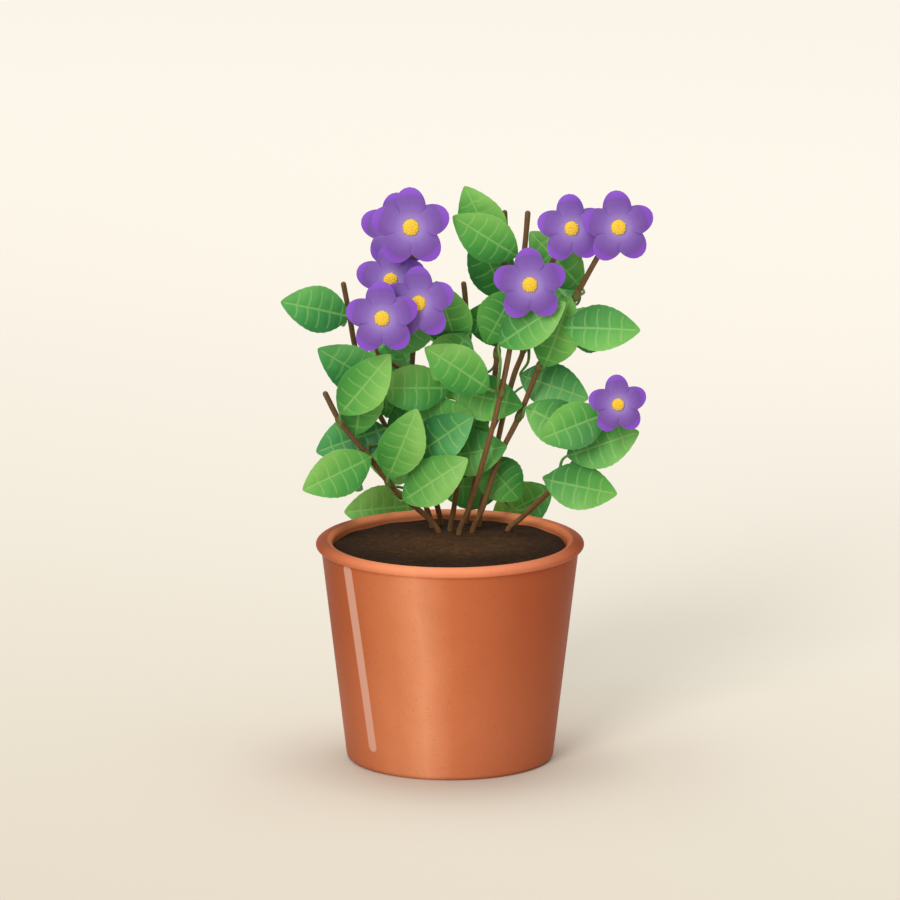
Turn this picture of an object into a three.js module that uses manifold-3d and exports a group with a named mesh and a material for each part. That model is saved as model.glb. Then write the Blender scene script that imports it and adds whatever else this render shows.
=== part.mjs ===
// A potted african violet, 260 mm tall: a glazed terracotta pot full of soil, nine brown stems that
// stand in holes in it, sprays of leaves sleeved on the stems, and nine violet blooms.
// Millimetres, +Z up. The origin is the centre of the pot's flat underside and the front faces -Y.
import * as THREE from "three";
import { mergeVertices } from "three/addons/utils/BufferGeometryUtils.js";
import Module from "manifold-3d";

const wasm = await Module();
wasm.setup();

// Pot
const POT_HEIGHT = 100;
const RIM_RADIUS = 60; // outside of the rolled lip
const MOUTH_RADIUS = 52.4; // inside of the lip
const LIP_HEIGHT = 4.8;
const LIP_TUCK = 0.6; // the body runs up this far behind the lip's lower edge
const LIP_FROM = -0.9; // radians round the lip's oval section, from under its outer edge
const LIP_TO = 3.3;
const SHOULDER_RADIUS = 57.6; // body right under the lip
const FOOT_RADIUS = 46.2;
const FOOT_ROUNDING = 2.5;
const LOW_RADIUS = 46.5; // body right above the foot's rounding
const WALL = 5;
const FLOOR = 6;
const DRAIN_RADIUS = 4;
const DRAIN_RING = 22; // the three drain holes lie on this radius
const DRAIN_COUNT = 3;
const DRAIN_SIDES = 16;
const POT_SIDES = 40;

// Soil
const SOIL_TOP = 96.4;
const SOIL_SIDES = 32;
const SOIL_RINGS = 2;
const SOIL_UNEVENNESS = 0.5;
const SOIL_WAVES = [0.21, 0.17]; // radians per mm, across and away from the viewer

// Stems and stalks
const STEM_RADIUS = 1.25;
const STALK_RADIUS = 0.9;
const STEM_SIDES = 6;
const STALK_SIDES = 5;
const STEM_STEP = 14; // length of one straight piece of a bent stem
const ROOT_DEPTH = 24; // length of stem below the soil's surface

// Leaves
const LEAF_WIDTH = 21;
const LEAF_THICKNESS = 0.8;
const LEAF_STEPS = 6;
const LEAF_CUP = 1.5; // the edges stand this much in front of the midrib
const LEAF_ARCH = 1.6; // the middle stands this much in front of the ends
const LEAF_TOOTH = 0.035; // share of the width by which the edge goes in and out
const LEAF_END = 0.7; // half width of the blade at its base and tip
const LEAF_BELLY = 0.92; // under 1, the leaf is widest nearer its base
const LEAF_FULLNESS = 0.82; // under 1, the leaf's sides are rounder
const PETIOLE_RADIUS = 0.85;
const PETIOLE_SIDES = 4;
const PETIOLE_IN_LEAF = 3;
const PETIOLE_OUT = 0.25; // share of the way that a petiole runs straight out of its sleeve
const PETIOLE_IN = 0.4; // share of the way that it runs straight at its leaf
const SLEEVE_WALL = 0.9;
const SLEEVE_LENGTH = 5;
const SLEEVE_PLAY = 0.2; // extra room where a bent stem runs through a straight sleeve

// Blooms
const PETAL_COUNT = 5;
const PETAL_WIDTH = 0.74; // share of the bloom's radius
const PETAL_THICKNESS = 0.8;
const PETAL_STEPS = 3;
const PETAL_SPACING = 0.85; // under 1, the steps are shorter towards the tip
const PETAL_WIDEST = 0.66; // share of the bloom's radius where a petal is widest
const PETAL_TAPER = 0.52; // share of the bloom's radius over which it rounds off from there
const PETAL_NARROWEST = 0.17; // of its greatest width, at its root
const PETAL_END = 0.5; // of its greatest width, at its tip
const PETAL_ROOT = 0.14; // share of the bloom's radius where a petal starts, inside the hub
const PETAL_TILT = 10 * (Math.PI / 180); // each petal's edge slips under the next petal
const PETAL_CUP = 1.2;
const PETAL_DROOP = 0.5; // its edges hang this much behind its middle
const BLOOM_LEAN = 3 * (Math.PI / 180); // the upright petal leans left
const HUB_RADIUS = 0.27; // share of the bloom's radius
const HUB_DEPTH = 1.6;
const HUB_SIDES = 8;
const EYE_RADIUS = 0.2; // share of the bloom's radius
const EYE_HEIGHT = 2;
const EYE_OUTLINE = [[1, 0], [0.94, 0.5], [0.6, 0.88]]; // shares of its radius and its height
const CALYX_RADIUS = 2.4;
const CALYX_DEPTH = 3.4;
const CALYX_DROP = 0.9; // its rim keeps this far back, where the petals' lower edges dip
const SEPAL_REACH = 6; // from the axis to the tip of a sepal
const SEPAL_THICKNESS = 0.8;
const STALK_END = 4; // the last stretch of a stalk runs straight at its bloom

const GAP = 0.3; // air between two pieces that touch

// The front view looks 13 degrees down on the plant. A place in it is [across, up, depth]: mm to the
// right of the pot's axis, mm up the picture from the rim's centre, and mm away from the viewer.
const VIEW_TILT = 13 * (Math.PI / 180);
const TO_VIEWER = new THREE.Vector3(0, -Math.cos(VIEW_TILT), Math.sin(VIEW_TILT));

function seen([across, up, depth]) {
  const rise = (up - depth * Math.sin(VIEW_TILT)) / Math.cos(VIEW_TILT);
  return new THREE.Vector3(across, depth, POT_HEIGHT + rise);
}

// ---- layout -------------------------------------------------------------------------------------

// Each stem stands at foot [x, y], passes through its points, and ends bare or behind a bloom.
const STEMS = {
  stem_left: {
    foot: [-5, 27],
    points: [
      [-15.6, 14, 22],
      [-22.9, 19.2, 17],
      [-29.1, 27, 12],
      [-38, 38.6, 6],
      [-48.7, 51.6, 2],
      [-56.1, 65.6, 0],
    ],
  },
  stem_far_left: {
    foot: [-8, 37],
    points: [
      [-16, 26, 35],
      [-33, 58, 32],
      [-39, 72, 29],
      [-41.5, 82, 25],
      [-42.8, 87.1, 22],
      [-45.1, 100.8, 15],
      [-47.7, 114.5, 12],
    ],
  },
  stem_middle: {
    foot: [0, 30],
    points: [
      [2, 15, 28],
      [5, 40, 25],
      [8, 62, 25.5],
      [7.7, 85.7, 22],
      [6.9, 106.4, 20],
      [6, 114.8, 19],
    ],
  },
  stem_back: {
    foot: [7, 42],
    points: [
      [9, 15, 41],
      [13, 35, 37],
      [17, 55, 32],
      [20.1, 72.9, 26],
      [21.3, 85.6, 24],
      [23, 105, 21],
      [24.9, 130, 18.5],
      [24.3, 146.5, 17.5],
    ],
  },
  stem_front: {
    foot: [4, 24],
    points: [
      [8.6, 13.7, 20],
      [14.7, 34.1, 12],
      [21.1, 57.7, 7],
      [26.5, 83.6, 6],
      [29.5, 103, 8],
      [33.2, 129.1, 8.5],
      [34.7, 146, 8],
    ],
  },
  stem_right: {
    foot: [10, 27],
    points: [
      [14.7, 13.7, 23],
      [21.8, 35.9, 22],
      [30.9, 54.4, 22.5],
      [40.4, 77.7, 16],
      [55.3, 106.5, 10],
      [65, 124.2, 5],
    ],
    bloom: "bloom_far_right",
  },
  stem_inner: {
    foot: [13, 38],
    points: [
      [14, 14, 37],
      [19, 32, 36],
      [24, 55, 31],
      [29, 74, 28],
      [32.5, 82.9, 27],
      [36, 100, 25.5],
      [44, 120, 16],
    ],
    bloom: "bloom_top_right",
  },
  stem_low_right: {
    foot: [26, 30],
    points: [
      [32, 9, 27],
      [40, 16.5, 20],
      [47.5, 24, 13],
      [55.4, 33.8, 9],
      [66, 43, 8],
      [72, 51, 5.5],
    ],
    bloom: "bloom_low_right",
  },
  stem_bloom_bunch: {
    foot: [-4, 43],
    points: [
      [-9, 25, 34],
      [-14, 42, 22.5],
      [-16, 55, 21.5],
      [-17, 75, 21.5],
      [-15.5, 95, 22],
      [-14.5, 108, 20],
      [-18, 125, 21],
    ],
    bloom: "bloom_top_left_back",
  },
};

// A stalk leaves its stem at a share of the stem's length and ends behind its bloom.
const STALKS = [
  { stem: "stem_front", at: 0.67, bloom: "bloom_right", points: [[32, 108, 6]] },
  {
    stem: "stem_bloom_bunch",
    at: 0.8,
    bloom: "bloom_top_left",
    points: [[-12, 114, 13], [-15, 122, 6.8], [-17, 130, 4]],
  },
  { stem: "stem_bloom_bunch", at: 0.79, bloom: "bloom_left", points: [[-21, 112, 14]] },
  { stem: "stem_bloom_bunch", at: 0.82, bloom: "bloom_middle", points: [[-11, 112, 10]] },
  {
    stem: "stem_bloom_bunch",
    at: 0.59,
    bloom: "bloom_front",
    points: [[-25, 77.5, 19], [-31, 81, 10], [-33, 86, 2]],
  },
];

// Each bloom has its centre, its radius, and how far it turns right and nods down from the viewer.
const BLOOMS = {
  bloom_top_left: { centre: [-17.3, 138.3, -6], radius: 17.9, turn: -4, nod: 3 },
  bloom_top_left_back: { centre: [-23.5, 137.6, 15.5], radius: 16.8, turn: -6, nod: -3 },
  bloom_left: { centre: [-26.3, 115, 2], radius: 15.9, turn: -5, nod: 0 },
  bloom_middle: { centre: [-13.9, 104.8, -9], radius: 16.5, turn: -8, nod: 4 },
  bloom_front: { centre: [-30.1, 98, -16], radius: 16.5, turn: -3, nod: 5 },
  bloom_top_right: { centre: [54, 137.9, 4], radius: 15.6, turn: 5, nod: -3 },
  bloom_far_right: { centre: [74.7, 138.3, -6], radius: 16.5, turn: 7, nod: 3 },
  bloom_right: { centre: [35.5, 113, -3], radius: 16.6, turn: 0, nod: 4 },
  bloom_low_right: { centre: [74.6, 59.8, -15], radius: 13.4, turn: 6, nod: 5 },
};

// Each spray is sleeved on its stem at a share of the stem's length. A leaf runs from base to tip,
// and roll turns it about its midrib, in degrees, from facing the viewer.
const SPRAYS = {
  leaves_left_top: {
    stem: "stem_left",
    at: 0.86,
    leaves: [{ base: [-48.9, 55.6, -2], tip: [-26.8, 82, -8], roll: 8 }],
  },
  leaves_left_middle: {
    stem: "stem_left",
    at: 0.68,
    leaves: [
      { base: [-35.3, 36.2, 3], tip: [-65.7, 21.6, -4], roll: -8 },
      { base: [-42, 46.2, 9], tip: [-37.5, 79.7, 11], roll: 0 },
      {
        base: [-29, 49.3, 18],
        tip: [-59.9, 38.6, 19],
        via: [[-37, 41, 12], [-28.5, 43, 17], [-25.5, 46.5, 18.5]],
        roll: 0,
      },
      { base: [-43, 29.5, 20], tip: [-53, 27, 46], roll: -50 },
    ],
  },
  leaves_left_low: {
    stem: "stem_left",
    at: 0.52,
    leaves: [
      { base: [-27.7, 27, 7], tip: [-14.8, 57.8, 0], roll: 8 },
      { base: [-21, 16.7, 12], tip: [7.9, 35.5, 4], roll: -6 },
      {
        base: [-15.6, 14.5, 64],
        tip: [-47.8, 11.4, 60],
        via: [[-27, 22, 24], [-24, 23, 38], [-14, 20, 54], [-10, 17, 62]],
        roll: 0,
      },
    ],
  },
  leaves_far_left: {
    stem: "stem_far_left",
    at: 0.9,
    leaves: [
      { base: [-45.1, 99, 9], tip: [-75.3, 105.4, 2], roll: 6 },
      { base: [-48, 104, 24], tip: [-60, 104, 52], roll: -50 },
    ],
  },
  leaves_middle_top: {
    stem: "stem_middle",
    at: 0.8,
    leaves: [
      { base: [3.8, 84.2, 15], tip: [-6.3, 114.6, 6], roll: 0 },
      { base: [8, 91, 10], tip: [-7.2, 70.8, 8], roll: 0 },
      { base: [4, 92, 42], tip: [-14, 106, 62], roll: 180 },
    ],
  },
  leaves_middle: {
    stem: "stem_middle",
    at: 0.63,
    leaves: [
      { base: [0, 67.2, 13.5], tip: [-33.5, 67.2, 12], roll: 0 },
      { base: [0.5, 66.3, 19], tip: [32.5, 59.2, 18.5], roll: 0 },
    ],
  },
  leaves_back_top: {
    stem: "stem_back",
    at: 0.87,
    leaves: [
      { base: [21.3, 126.2, 13], tip: [6.5, 156.8, 11], roll: 0 },
    ],
  },
  leaves_back_upper: {
    stem: "stem_back",
    at: 0.75,
    leaves: [
      { base: [25.5, 106.6, 27], tip: [10.7, 137, 27], roll: 0 },
      { base: [29, 111, 15], tip: [15.9, 86.9, 16], roll: 0 },
      { base: [24, 122, 41], tip: [11, 142, 58], via: [[24, 110, 30], [25, 116, 37]], roll: 180 },
    ],
  },
  leaves_back_middle: {
    stem: "stem_back",
    at: 0.62,
    leaves: [{ base: [16, 74, 40], tip: [-12, 70, 54], roll: 180 }],
  },
  leaves_back_low: {
    stem: "stem_back",
    at: 0.36,
    leaves: [
      { base: [5.4, 27, 31.5], tip: [12.5, 58.3, 31], roll: 0 },
      { base: [15, 35.5, 31.5], tip: [31.1, 17.2, 31], roll: 0 },
      { base: [9, 46, 48], tip: [-17, 52, 64], roll: 180 },
      { base: [35, 69, 46], tip: [58, 68, 60], roll: 180 },
    ],
  },
  leaves_front_top: {
    stem: "stem_front",
    at: 0.87,
    leaves: [{ base: [29.9, 125.8, 7], tip: [1.3, 143.4, 2], roll: -6 }],
  },
  leaves_front: {
    stem: "stem_front",
    at: 0.54,
    leaves: [
      { base: [17.4, 66.6, 5], tip: [-11.2, 85.1, 0], roll: 8 },
      { base: [21.7, 86.4, 2.5], tip: [51.4, 105.2, 0.5], via: [[22.5, 79, 1.5]], roll: -12 },
    ],
  },
  leaves_right_top: {
    stem: "stem_right",
    at: 0.78,
    leaves: [
      { base: [58.9, 111.9, 23], tip: [35.8, 137, 28], roll: 0 },
      { base: [54, 106, 38], tip: [40, 122, 62], roll: 180 },
    ],
  },
  leaves_right_middle: {
    stem: "stem_right",
    at: 0.58,
    leaves: [
      {
        base: [50.5, 94, 2.5],
        tip: [84.6, 92.7, -4],
        via: [[50, 84, 14.5], [57, 86.5, 12], [59.5, 89, 8], [57, 92, 5]],
        roll: -8,
      },
      { base: [42.2, 76.6, 12], tip: [53.6, 107.9, 7], roll: 6 },
      { base: [52, 93, 30], tip: [75, 95, 44], roll: 170 },
    ],
  },
  leaves_right_low: {
    stem: "stem_right",
    at: 0.44,
    leaves: [{ base: [34, 58.6, 15], tip: [63.9, 43.5, 10.5], via: [[32.5, 54.5, 17.5]], roll: 0 }],
  },
  leaves_inner_top: {
    stem: "stem_inner",
    at: 0.63,
    leaves: [
      { base: [35.8, 94.5, 33], tip: [5.1, 98.5, 33], roll: 0 },
      { base: [31.4, 73, 30], tip: [62, 62.5, 26], via: [[35, 79, 29.5]], roll: 0 },
    ],
  },
  leaves_inner_low: {
    stem: "stem_inner",
    at: 0.25,
    leaves: [
      { base: [24, 23, 49], tip: [-6, 23, 49], roll: 0 },
      { base: [46, 21.6, 62], tip: [18.8, 7.3, 66], via: [[32, 12, 58]], roll: 0 },
    ],
  },
  leaves_low_right: {
    stem: "stem_low_right",
    at: 0.57,
    leaves: [
      { base: [42, 26.3, 5], tip: [74.6, 19.8, 1], roll: 0 },
      { base: [52.2, 36.8, 2], tip: [84.3, 47.6, -1], roll: 0 },
      { base: [58, 36, 22], tip: [72, 41, 50], roll: 50 },
    ],
  },
  leaves_far_right: {
    stem: "stem_low_right",
    at: 0.67,
    leaves: [
      {
        base: [70, 55.8, -6],
        tip: [40.2, 44.4, -5],
        via: [[64.5, 48, 5.5], [67, 54.5, 2.5], [70.5, 57.2, -2.5]],
        roll: 0,
      },
      { base: [70, 50, 20], tip: [82, 58, 46], via: [[65, 42, 14]], roll: 60 },
    ],
  },
  leaves_bunch_low: {
    stem: "stem_bloom_bunch",
    at: 0.31,
    leaves: [
      { base: [-17.9, 35.5, 14], tip: [10.3, 54.7, 9.5], roll: 0 },
      { base: [-22.4, 50.7, 18], tip: [9.8, 56, 13.5], roll: 0 },
      { base: [-4, 36, 23.5], tip: [25.5, 41.1, 19.6], roll: 0 },
      { base: [-14, 33, 46], tip: [-38, 36, 62], roll: 180 },
    ],
  },
  leaves_bunch_middle: {
    stem: "stem_bloom_bunch",
    at: 0.555,
    leaves: [
      { base: [-3, 61.5, 29.5], tip: [-28, 50, 29.5], roll: 0 },
      { base: [-29, 54.7, 28], tip: [-25.9, 88.7, 28], roll: 0 },
      { base: [-30, 67.7, 20.5], tip: [-59, 84.7, 13], roll: 0 },
      { base: [-28, 83, 19], tip: [-5, 108, 17], roll: 0 },
      { base: [-19, 76, 38], tip: [-36, 90, 58], roll: 180 },
    ],
  },
};

// ---- materials ----------------------------------------------------------------------------------

const finish = (color, roughness) =>
  new THREE.MeshStandardMaterial({ color, roughness, metalness: 0 });

const FINISHES = {
  terracotta: () => finish("#c66c40", 0.35),
  soil: () => finish("#3f2818", 0.95),
  stem: () => finish("#6e4a24", 0.75),
  leaf: () => finish("#57a045", 0.6),
  petal: () => finish("#8b5cc6", 0.55),
  eye: () => finish("#fcd535", 0.6),
  calyx: () => finish("#5f9a3c", 0.7),
};

// ---- solids -------------------------------------------------------------------------------------

// A closed three.js geometry as a solid that can be joined and cut.
function solidOf(geometry) {
  const bare = geometry.clone();
  bare.deleteAttribute("normal");
  bare.deleteAttribute("uv");
  const merged = mergeVertices(bare, 1e-4);
  return new wasm.Manifold(
    new wasm.Mesh({
      numProp: 3,
      vertProperties: merged.attributes.position.array,
      triVerts: new Uint32Array(merged.index.array),
    }),
  );
}

const joined = (solids) => solids.reduce((whole, solid) => whole.add(solid));

function meshOf(name, solid, material) {
  const mesh = solid.getMesh();
  const geometry = new THREE.BufferGeometry();
  geometry.setAttribute("position", new THREE.BufferAttribute(mesh.vertProperties, 3));
  geometry.setIndex(new THREE.BufferAttribute(mesh.triVerts, 1));
  geometry.computeVertexNormals();
  const made = new THREE.Mesh(geometry, material);
  made.name = name;
  return made;
}

// A tube of a given radius along a curve. With outer its polygon is drawn round that circle, not
// inside it, and a bore makes it a sleeve.
function tube(curve, radius, sides, { outer = false, bore = 0 } = {}) {
  const polygon = (reach) =>
    Array.from({ length: sides }, (_, i) => {
      const angle = (2 * Math.PI * i) / sides;
      return new THREE.Vector2(reach * Math.cos(angle), reach * Math.sin(angle));
    });
  const round = Math.cos(Math.PI / sides);
  const section = new THREE.Shape(polygon(outer ? radius / round : radius));
  if (bore) section.holes.push(new THREE.Path(polygon(bore / round)));
  const steps = Math.max(bore ? 1 : 2, Math.round(curve.getLength() / STEM_STEP));
  const extrusion = { steps, extrudePath: curve, bevelEnabled: false };
  return solidOf(new THREE.ExtrudeGeometry(section, extrusion));
}

function ball(centre, radius, sides) {
  const sphere = new THREE.SphereGeometry(radius, sides, sides / 2);
  return solidOf(sphere.translate(centre.x, centre.y, centre.z));
}

// A blade from two rows of places alike: each station is [left, middle, right] with its normal, and
// the blade is as thick as given. Both faces are split into triangles along the same diagonals.
function blade(stations, normal, thickness) {
  const positions = [];
  for (const side of [0.5, -0.5])
    for (const row of stations)
      for (const place of row)
        positions.push(...place.clone().addScaledVector(normal, side * thickness).toArray());
  const back = stations.length * 3;
  const faces = [];
  const quad = (a, b, c, d) => faces.push(a, b, c, a, c, d);
  for (let i = 0; i < stations.length - 1; i++) {
    const row = i * 3;
    const next = row + 3;
    for (let j = 0; j < 2; j++) {
      quad(row + j, row + j + 1, next + j + 1, next + j);
      quad(back + row + j, back + next + j, back + next + j + 1, back + row + j + 1);
    }
    quad(row, next, back + next, back + row);
    quad(row + 2, back + row + 2, back + next + 2, next + 2);
  }
  const last = back - 3;
  for (let j = 0; j < 2; j++) {
    quad(j, back + j, back + j + 1, j + 1);
    quad(last + j, last + j + 1, back + last + j + 1, back + last + j);
  }
  const geometry = new THREE.BufferGeometry();
  geometry.setAttribute("position", new THREE.Float32BufferAttribute(positions, 3));
  geometry.setIndex(faces);
  return solidOf(geometry);
}

// ---- pot and soil -------------------------------------------------------------------------------

function potSolid() {
  const lipWidth = RIM_RADIUS - MOUTH_RADIUS;
  const lipMiddle = RIM_RADIUS - lipWidth / 2;
  const lipLevel = POT_HEIGHT - LIP_HEIGHT / 2;
  const outline = new THREE.Path();
  outline.moveTo(0, 0);
  outline.lineTo(FOOT_RADIUS - FOOT_ROUNDING, 0);
  outline.quadraticCurveTo(FOOT_RADIUS, 0, LOW_RADIUS, FOOT_ROUNDING);
  outline.lineTo(SHOULDER_RADIUS, POT_HEIGHT - LIP_HEIGHT + LIP_TUCK);
  outline.absellipse(lipMiddle, lipLevel, lipWidth / 2, LIP_HEIGHT / 2, LIP_FROM, LIP_TO, false);
  outline.lineTo(LOW_RADIUS - WALL, FLOOR);
  outline.lineTo(0, FLOOR);
  const body = solidOf(new THREE.LatheGeometry(outline.getPoints(4), POT_SIDES).rotateX(Math.PI / 2));
  const drains = Array.from({ length: DRAIN_COUNT }, (_, i) => {
    const angle = (2 * Math.PI * i) / DRAIN_COUNT;
    const drain = new THREE.CylinderGeometry(DRAIN_RADIUS, DRAIN_RADIUS, 3 * FLOOR, DRAIN_SIDES);
    drain.rotateX(Math.PI / 2);
    return solidOf(drain.translate(DRAIN_RING * Math.cos(angle), DRAIN_RING * Math.sin(angle), 0));
  });
  return drains.reduce((pot, drain) => pot.subtract(drain), body);
}

// Inside radius of the pot's wall at a height.
function insideRadius(height) {
  const low = LOW_RADIUS - WALL;
  const share = (height - FLOOR) / (POT_HEIGHT - LIP_HEIGHT / 2 - FLOOR);
  return low + (MOUTH_RADIUS - low) * share;
}

function soilSolid(holes) {
  const low = FLOOR + GAP;
  const outline = [new THREE.Vector2(0, low), new THREE.Vector2(insideRadius(low) - GAP, low)];
  const edge = insideRadius(SOIL_TOP) - 2 * GAP;
  for (let ring = SOIL_RINGS; ring > 0; ring--)
    outline.push(new THREE.Vector2((edge * ring) / SOIL_RINGS, SOIL_TOP));
  outline.push(new THREE.Vector2(0, SOIL_TOP));
  const heap = new THREE.LatheGeometry(outline, SOIL_SIDES).rotateX(Math.PI / 2);
  const places = heap.attributes.position;
  for (let i = 0; i < places.count; i++) {
    if (places.getZ(i) < SOIL_TOP - 1) continue;
    const wave = Math.sin(SOIL_WAVES[0] * places.getX(i)) * Math.cos(SOIL_WAVES[1] * places.getY(i));
    places.setZ(i, places.getZ(i) + SOIL_UNEVENNESS * wave);
  }
  return holes.reduce((soil, hole) => soil.subtract(hole), solidOf(heap));
}

// ---- stems --------------------------------------------------------------------------------------

function bloomFrame(bloom) {
  const facing = TO_VIEWER.clone();
  facing.applyAxisAngle(new THREE.Vector3(0, 0, 1), bloom.turn * (Math.PI / 180));
  facing.applyAxisAngle(new THREE.Vector3(1, 0, 0), bloom.nod * (Math.PI / 180));
  return { centre: seen(bloom.centre), facing };
}

// Where a stem or stalk ends: it comes straight at the calyx and stops right behind it.
function endBehind(name) {
  const { centre, facing } = bloomFrame(BLOOMS[name]);
  const end = HUB_DEPTH / 2 + CALYX_DROP + CALYX_DEPTH + 2 * GAP;
  return [end + STALK_END, end].map((back) => centre.clone().addScaledVector(facing, -back));
}

function stemCurve({ foot, points, bloom }, lowering = 0) {
  const [x, y] = foot;
  const below = [SOIL_TOP - ROOT_DEPTH - lowering, SOIL_TOP - ROOT_DEPTH / 2, SOIL_TOP];
  const places = below.map((z) => new THREE.Vector3(x, y, z));
  places.push(...points.map(seen));
  if (bloom) places.push(...endBehind(bloom));
  return new THREE.CatmullRomCurve3(places, false, "centripetal");
}

function stalkCurve({ stem, at, bloom, points }) {
  const start = stemCurve(STEMS[stem]).getPointAt(at);
  const places = [start, ...points.map(seen), ...endBehind(bloom)];
  return new THREE.CatmullRomCurve3(places, false, "centripetal");
}

function stemSolid(name) {
  const stem = STEMS[name];
  const curve = stemCurve(stem);
  const pieces = [tube(curve, STEM_RADIUS, STEM_SIDES)];
  if (!stem.bloom) pieces.push(ball(curve.getPointAt(1), STEM_RADIUS, STEM_SIDES));
  for (const stalk of STALKS)
    if (stalk.stem === name) pieces.push(tube(stalkCurve(stalk), STALK_RADIUS, STALK_SIDES));
  return joined(pieces);
}

// The room that a stem needs: its own shape, a gap wider all round.
const stemRoom = (name) =>
  tube(stemCurve(STEMS[name], GAP), STEM_RADIUS + GAP, STEM_SIDES, { outer: true });

// ---- leaves -------------------------------------------------------------------------------------

// Half width of a leaf at a share of its length, as a share of its greatest half width.
const leafOutline = (share) => Math.max(0, Math.sin(Math.PI * share ** LEAF_BELLY)) ** LEAF_FULLNESS;

function leafSolid({ base, tip, roll }) {
  const from = seen(base);
  const to = seen(tip);
  const axis = to.clone().sub(from).normalize();
  const normal = TO_VIEWER.clone().addScaledVector(axis, -TO_VIEWER.dot(axis)).normalize();
  normal.applyAxisAngle(axis, roll * (Math.PI / 180));
  const side = new THREE.Vector3().crossVectors(axis, normal);
  const stations = [];
  for (let i = 0; i <= LEAF_STEPS; i++) {
    const share = i / LEAF_STEPS;
    const tooth = i > 0 && i < LEAF_STEPS ? 1 + LEAF_TOOTH * (i % 2 ? 1 : -1) : 1;
    const outline = leafOutline(share) * tooth;
    const half = LEAF_END + (LEAF_WIDTH / 2 - LEAF_END) * outline;
    const middle = from.clone().lerp(to, share);
    middle.addScaledVector(normal, LEAF_ARCH * Math.sin(Math.PI * share));
    const edge = (sign) =>
      middle.clone().addScaledVector(side, sign * half).addScaledVector(normal, LEAF_CUP * outline);
    stations.push([edge(-1), middle, edge(1)]);
  }
  return blade(stations, normal, LEAF_THICKNESS);
}

// A leaf's stalk leaves the sleeve's wall squarely, bends to the blade's base through the places in
// via, and runs on into the midrib.
function petioleSolid(sleeve, { base, tip, via = [] }) {
  const from = seen(base);
  const axis = seen(tip).sub(from).normalize();
  const centre = sleeve.getPointAt(0.5);
  const along = sleeve.getTangentAt(0.5);
  const reach = centre.distanceTo(from);
  const bend = from.clone().addScaledVector(axis, -PETIOLE_IN * reach);
  const out = (via.length ? seen(via[0]) : bend).clone().sub(centre);
  out.addScaledVector(along, -out.dot(along)).normalize();
  const wall = STEM_RADIUS + GAP + SLEEVE_PLAY + SLEEVE_WALL / 2;
  const start = centre.clone().addScaledVector(out, wall);
  const clear = centre.clone().addScaledVector(out, wall + PETIOLE_OUT * reach);
  const bent = new THREE.CubicBezierCurve3(start, clear, bend, from).getPoints(4);
  const places = via.length ? [start, ...via.map(seen), from] : bent;
  places.push(from.clone().addScaledVector(axis, PETIOLE_IN_LEAF));
  return tube(new THREE.CatmullRomCurve3(places), PETIOLE_RADIUS, PETIOLE_SIDES);
}

function spraySolid({ stem, at, leaves }) {
  const curve = stemCurve(STEMS[stem]);
  const half = SLEEVE_LENGTH / 2 / curve.getLength();
  const sleeve = new THREE.LineCurve3(curve.getPointAt(at - half), curve.getPointAt(at + half));
  const bore = STEM_RADIUS + GAP + SLEEVE_PLAY;
  const pieces = [tube(sleeve, bore + SLEEVE_WALL, STEM_SIDES, { bore })];
  for (const leaf of leaves) pieces.push(petioleSolid(sleeve, leaf), leafSolid(leaf));
  return joined(pieces);
}

// ---- blooms -------------------------------------------------------------------------------------

// The pieces of a bloom are made round +Z with the upright petal along +Y, then turned into place.
function turnedTo({ centre, facing }, solid) {
  const right = new THREE.Vector3().crossVectors(new THREE.Vector3(0, 0, 1), facing).normalize();
  const up = new THREE.Vector3().crossVectors(facing, right);
  const frame = new THREE.Matrix4().makeBasis(right, up, facing).setPosition(centre);
  return solid.transform(frame.elements);
}

const lathe = (outline, sides) =>
  new THREE.LatheGeometry(outline.map(([r, z]) => new THREE.Vector2(r, z)), sides).rotateX(Math.PI / 2);

// Half width of a petal at a share of the way out, as a share of its greatest half width.
function petalOutline(share) {
  const fromWidest = (share - PETAL_WIDEST) / PETAL_TAPER;
  return Math.max(PETAL_NARROWEST, Math.sqrt(Math.max(0, 1 - fromWidest ** 2)));
}

function petal(radius, angle) {
  const axis = new THREE.Vector3(Math.sin(angle), Math.cos(angle), 0);
  const face = new THREE.Vector3(0, 0, 1).applyAxisAngle(axis, PETAL_TILT);
  const side = new THREE.Vector3().crossVectors(axis, face);
  const stations = [];
  for (let i = 0; i <= PETAL_STEPS; i++) {
    const along = (i / PETAL_STEPS) ** PETAL_SPACING;
    const share = PETAL_ROOT + (1 - PETAL_ROOT) * along;
    const outline = i === PETAL_STEPS ? PETAL_END : petalOutline(share);
    const half = (outline * radius * PETAL_WIDTH) / 2;
    const middle = axis.clone().multiplyScalar(radius * share);
    middle.addScaledVector(face, PETAL_CUP * Math.sin(Math.PI * along));
    const edge = (sign) => {
      const place = middle.clone().addScaledVector(side, sign * half);
      return place.addScaledVector(face, -PETAL_DROOP * outline);
    };
    stations.push([edge(-1), middle, edge(1)]);
  }
  return blade(stations, face, PETAL_THICKNESS);
}

function petalsSolid(bloom) {
  const hub = bloom.radius * HUB_RADIUS;
  const half = HUB_DEPTH / 2;
  const pieces = [solidOf(lathe([[0, -half], [hub, -half], [hub, half], [0, half]], HUB_SIDES))];
  for (let i = 0; i < PETAL_COUNT; i++)
    pieces.push(petal(bloom.radius, (2 * Math.PI * i) / PETAL_COUNT - BLOOM_LEAN));
  return turnedTo(bloomFrame(bloom), joined(pieces));
}

function eyeSolid(bloom) {
  const radius = bloom.radius * EYE_RADIUS;
  const low = HUB_DEPTH / 2 + GAP;
  const outline = EYE_OUTLINE.map(([r, z]) => [r * radius, low + z * EYE_HEIGHT]);
  const dome = lathe([[0, low], ...outline, [0, low + EYE_HEIGHT]], HUB_SIDES);
  return turnedTo(bloomFrame(bloom), solidOf(dome));
}

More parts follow.
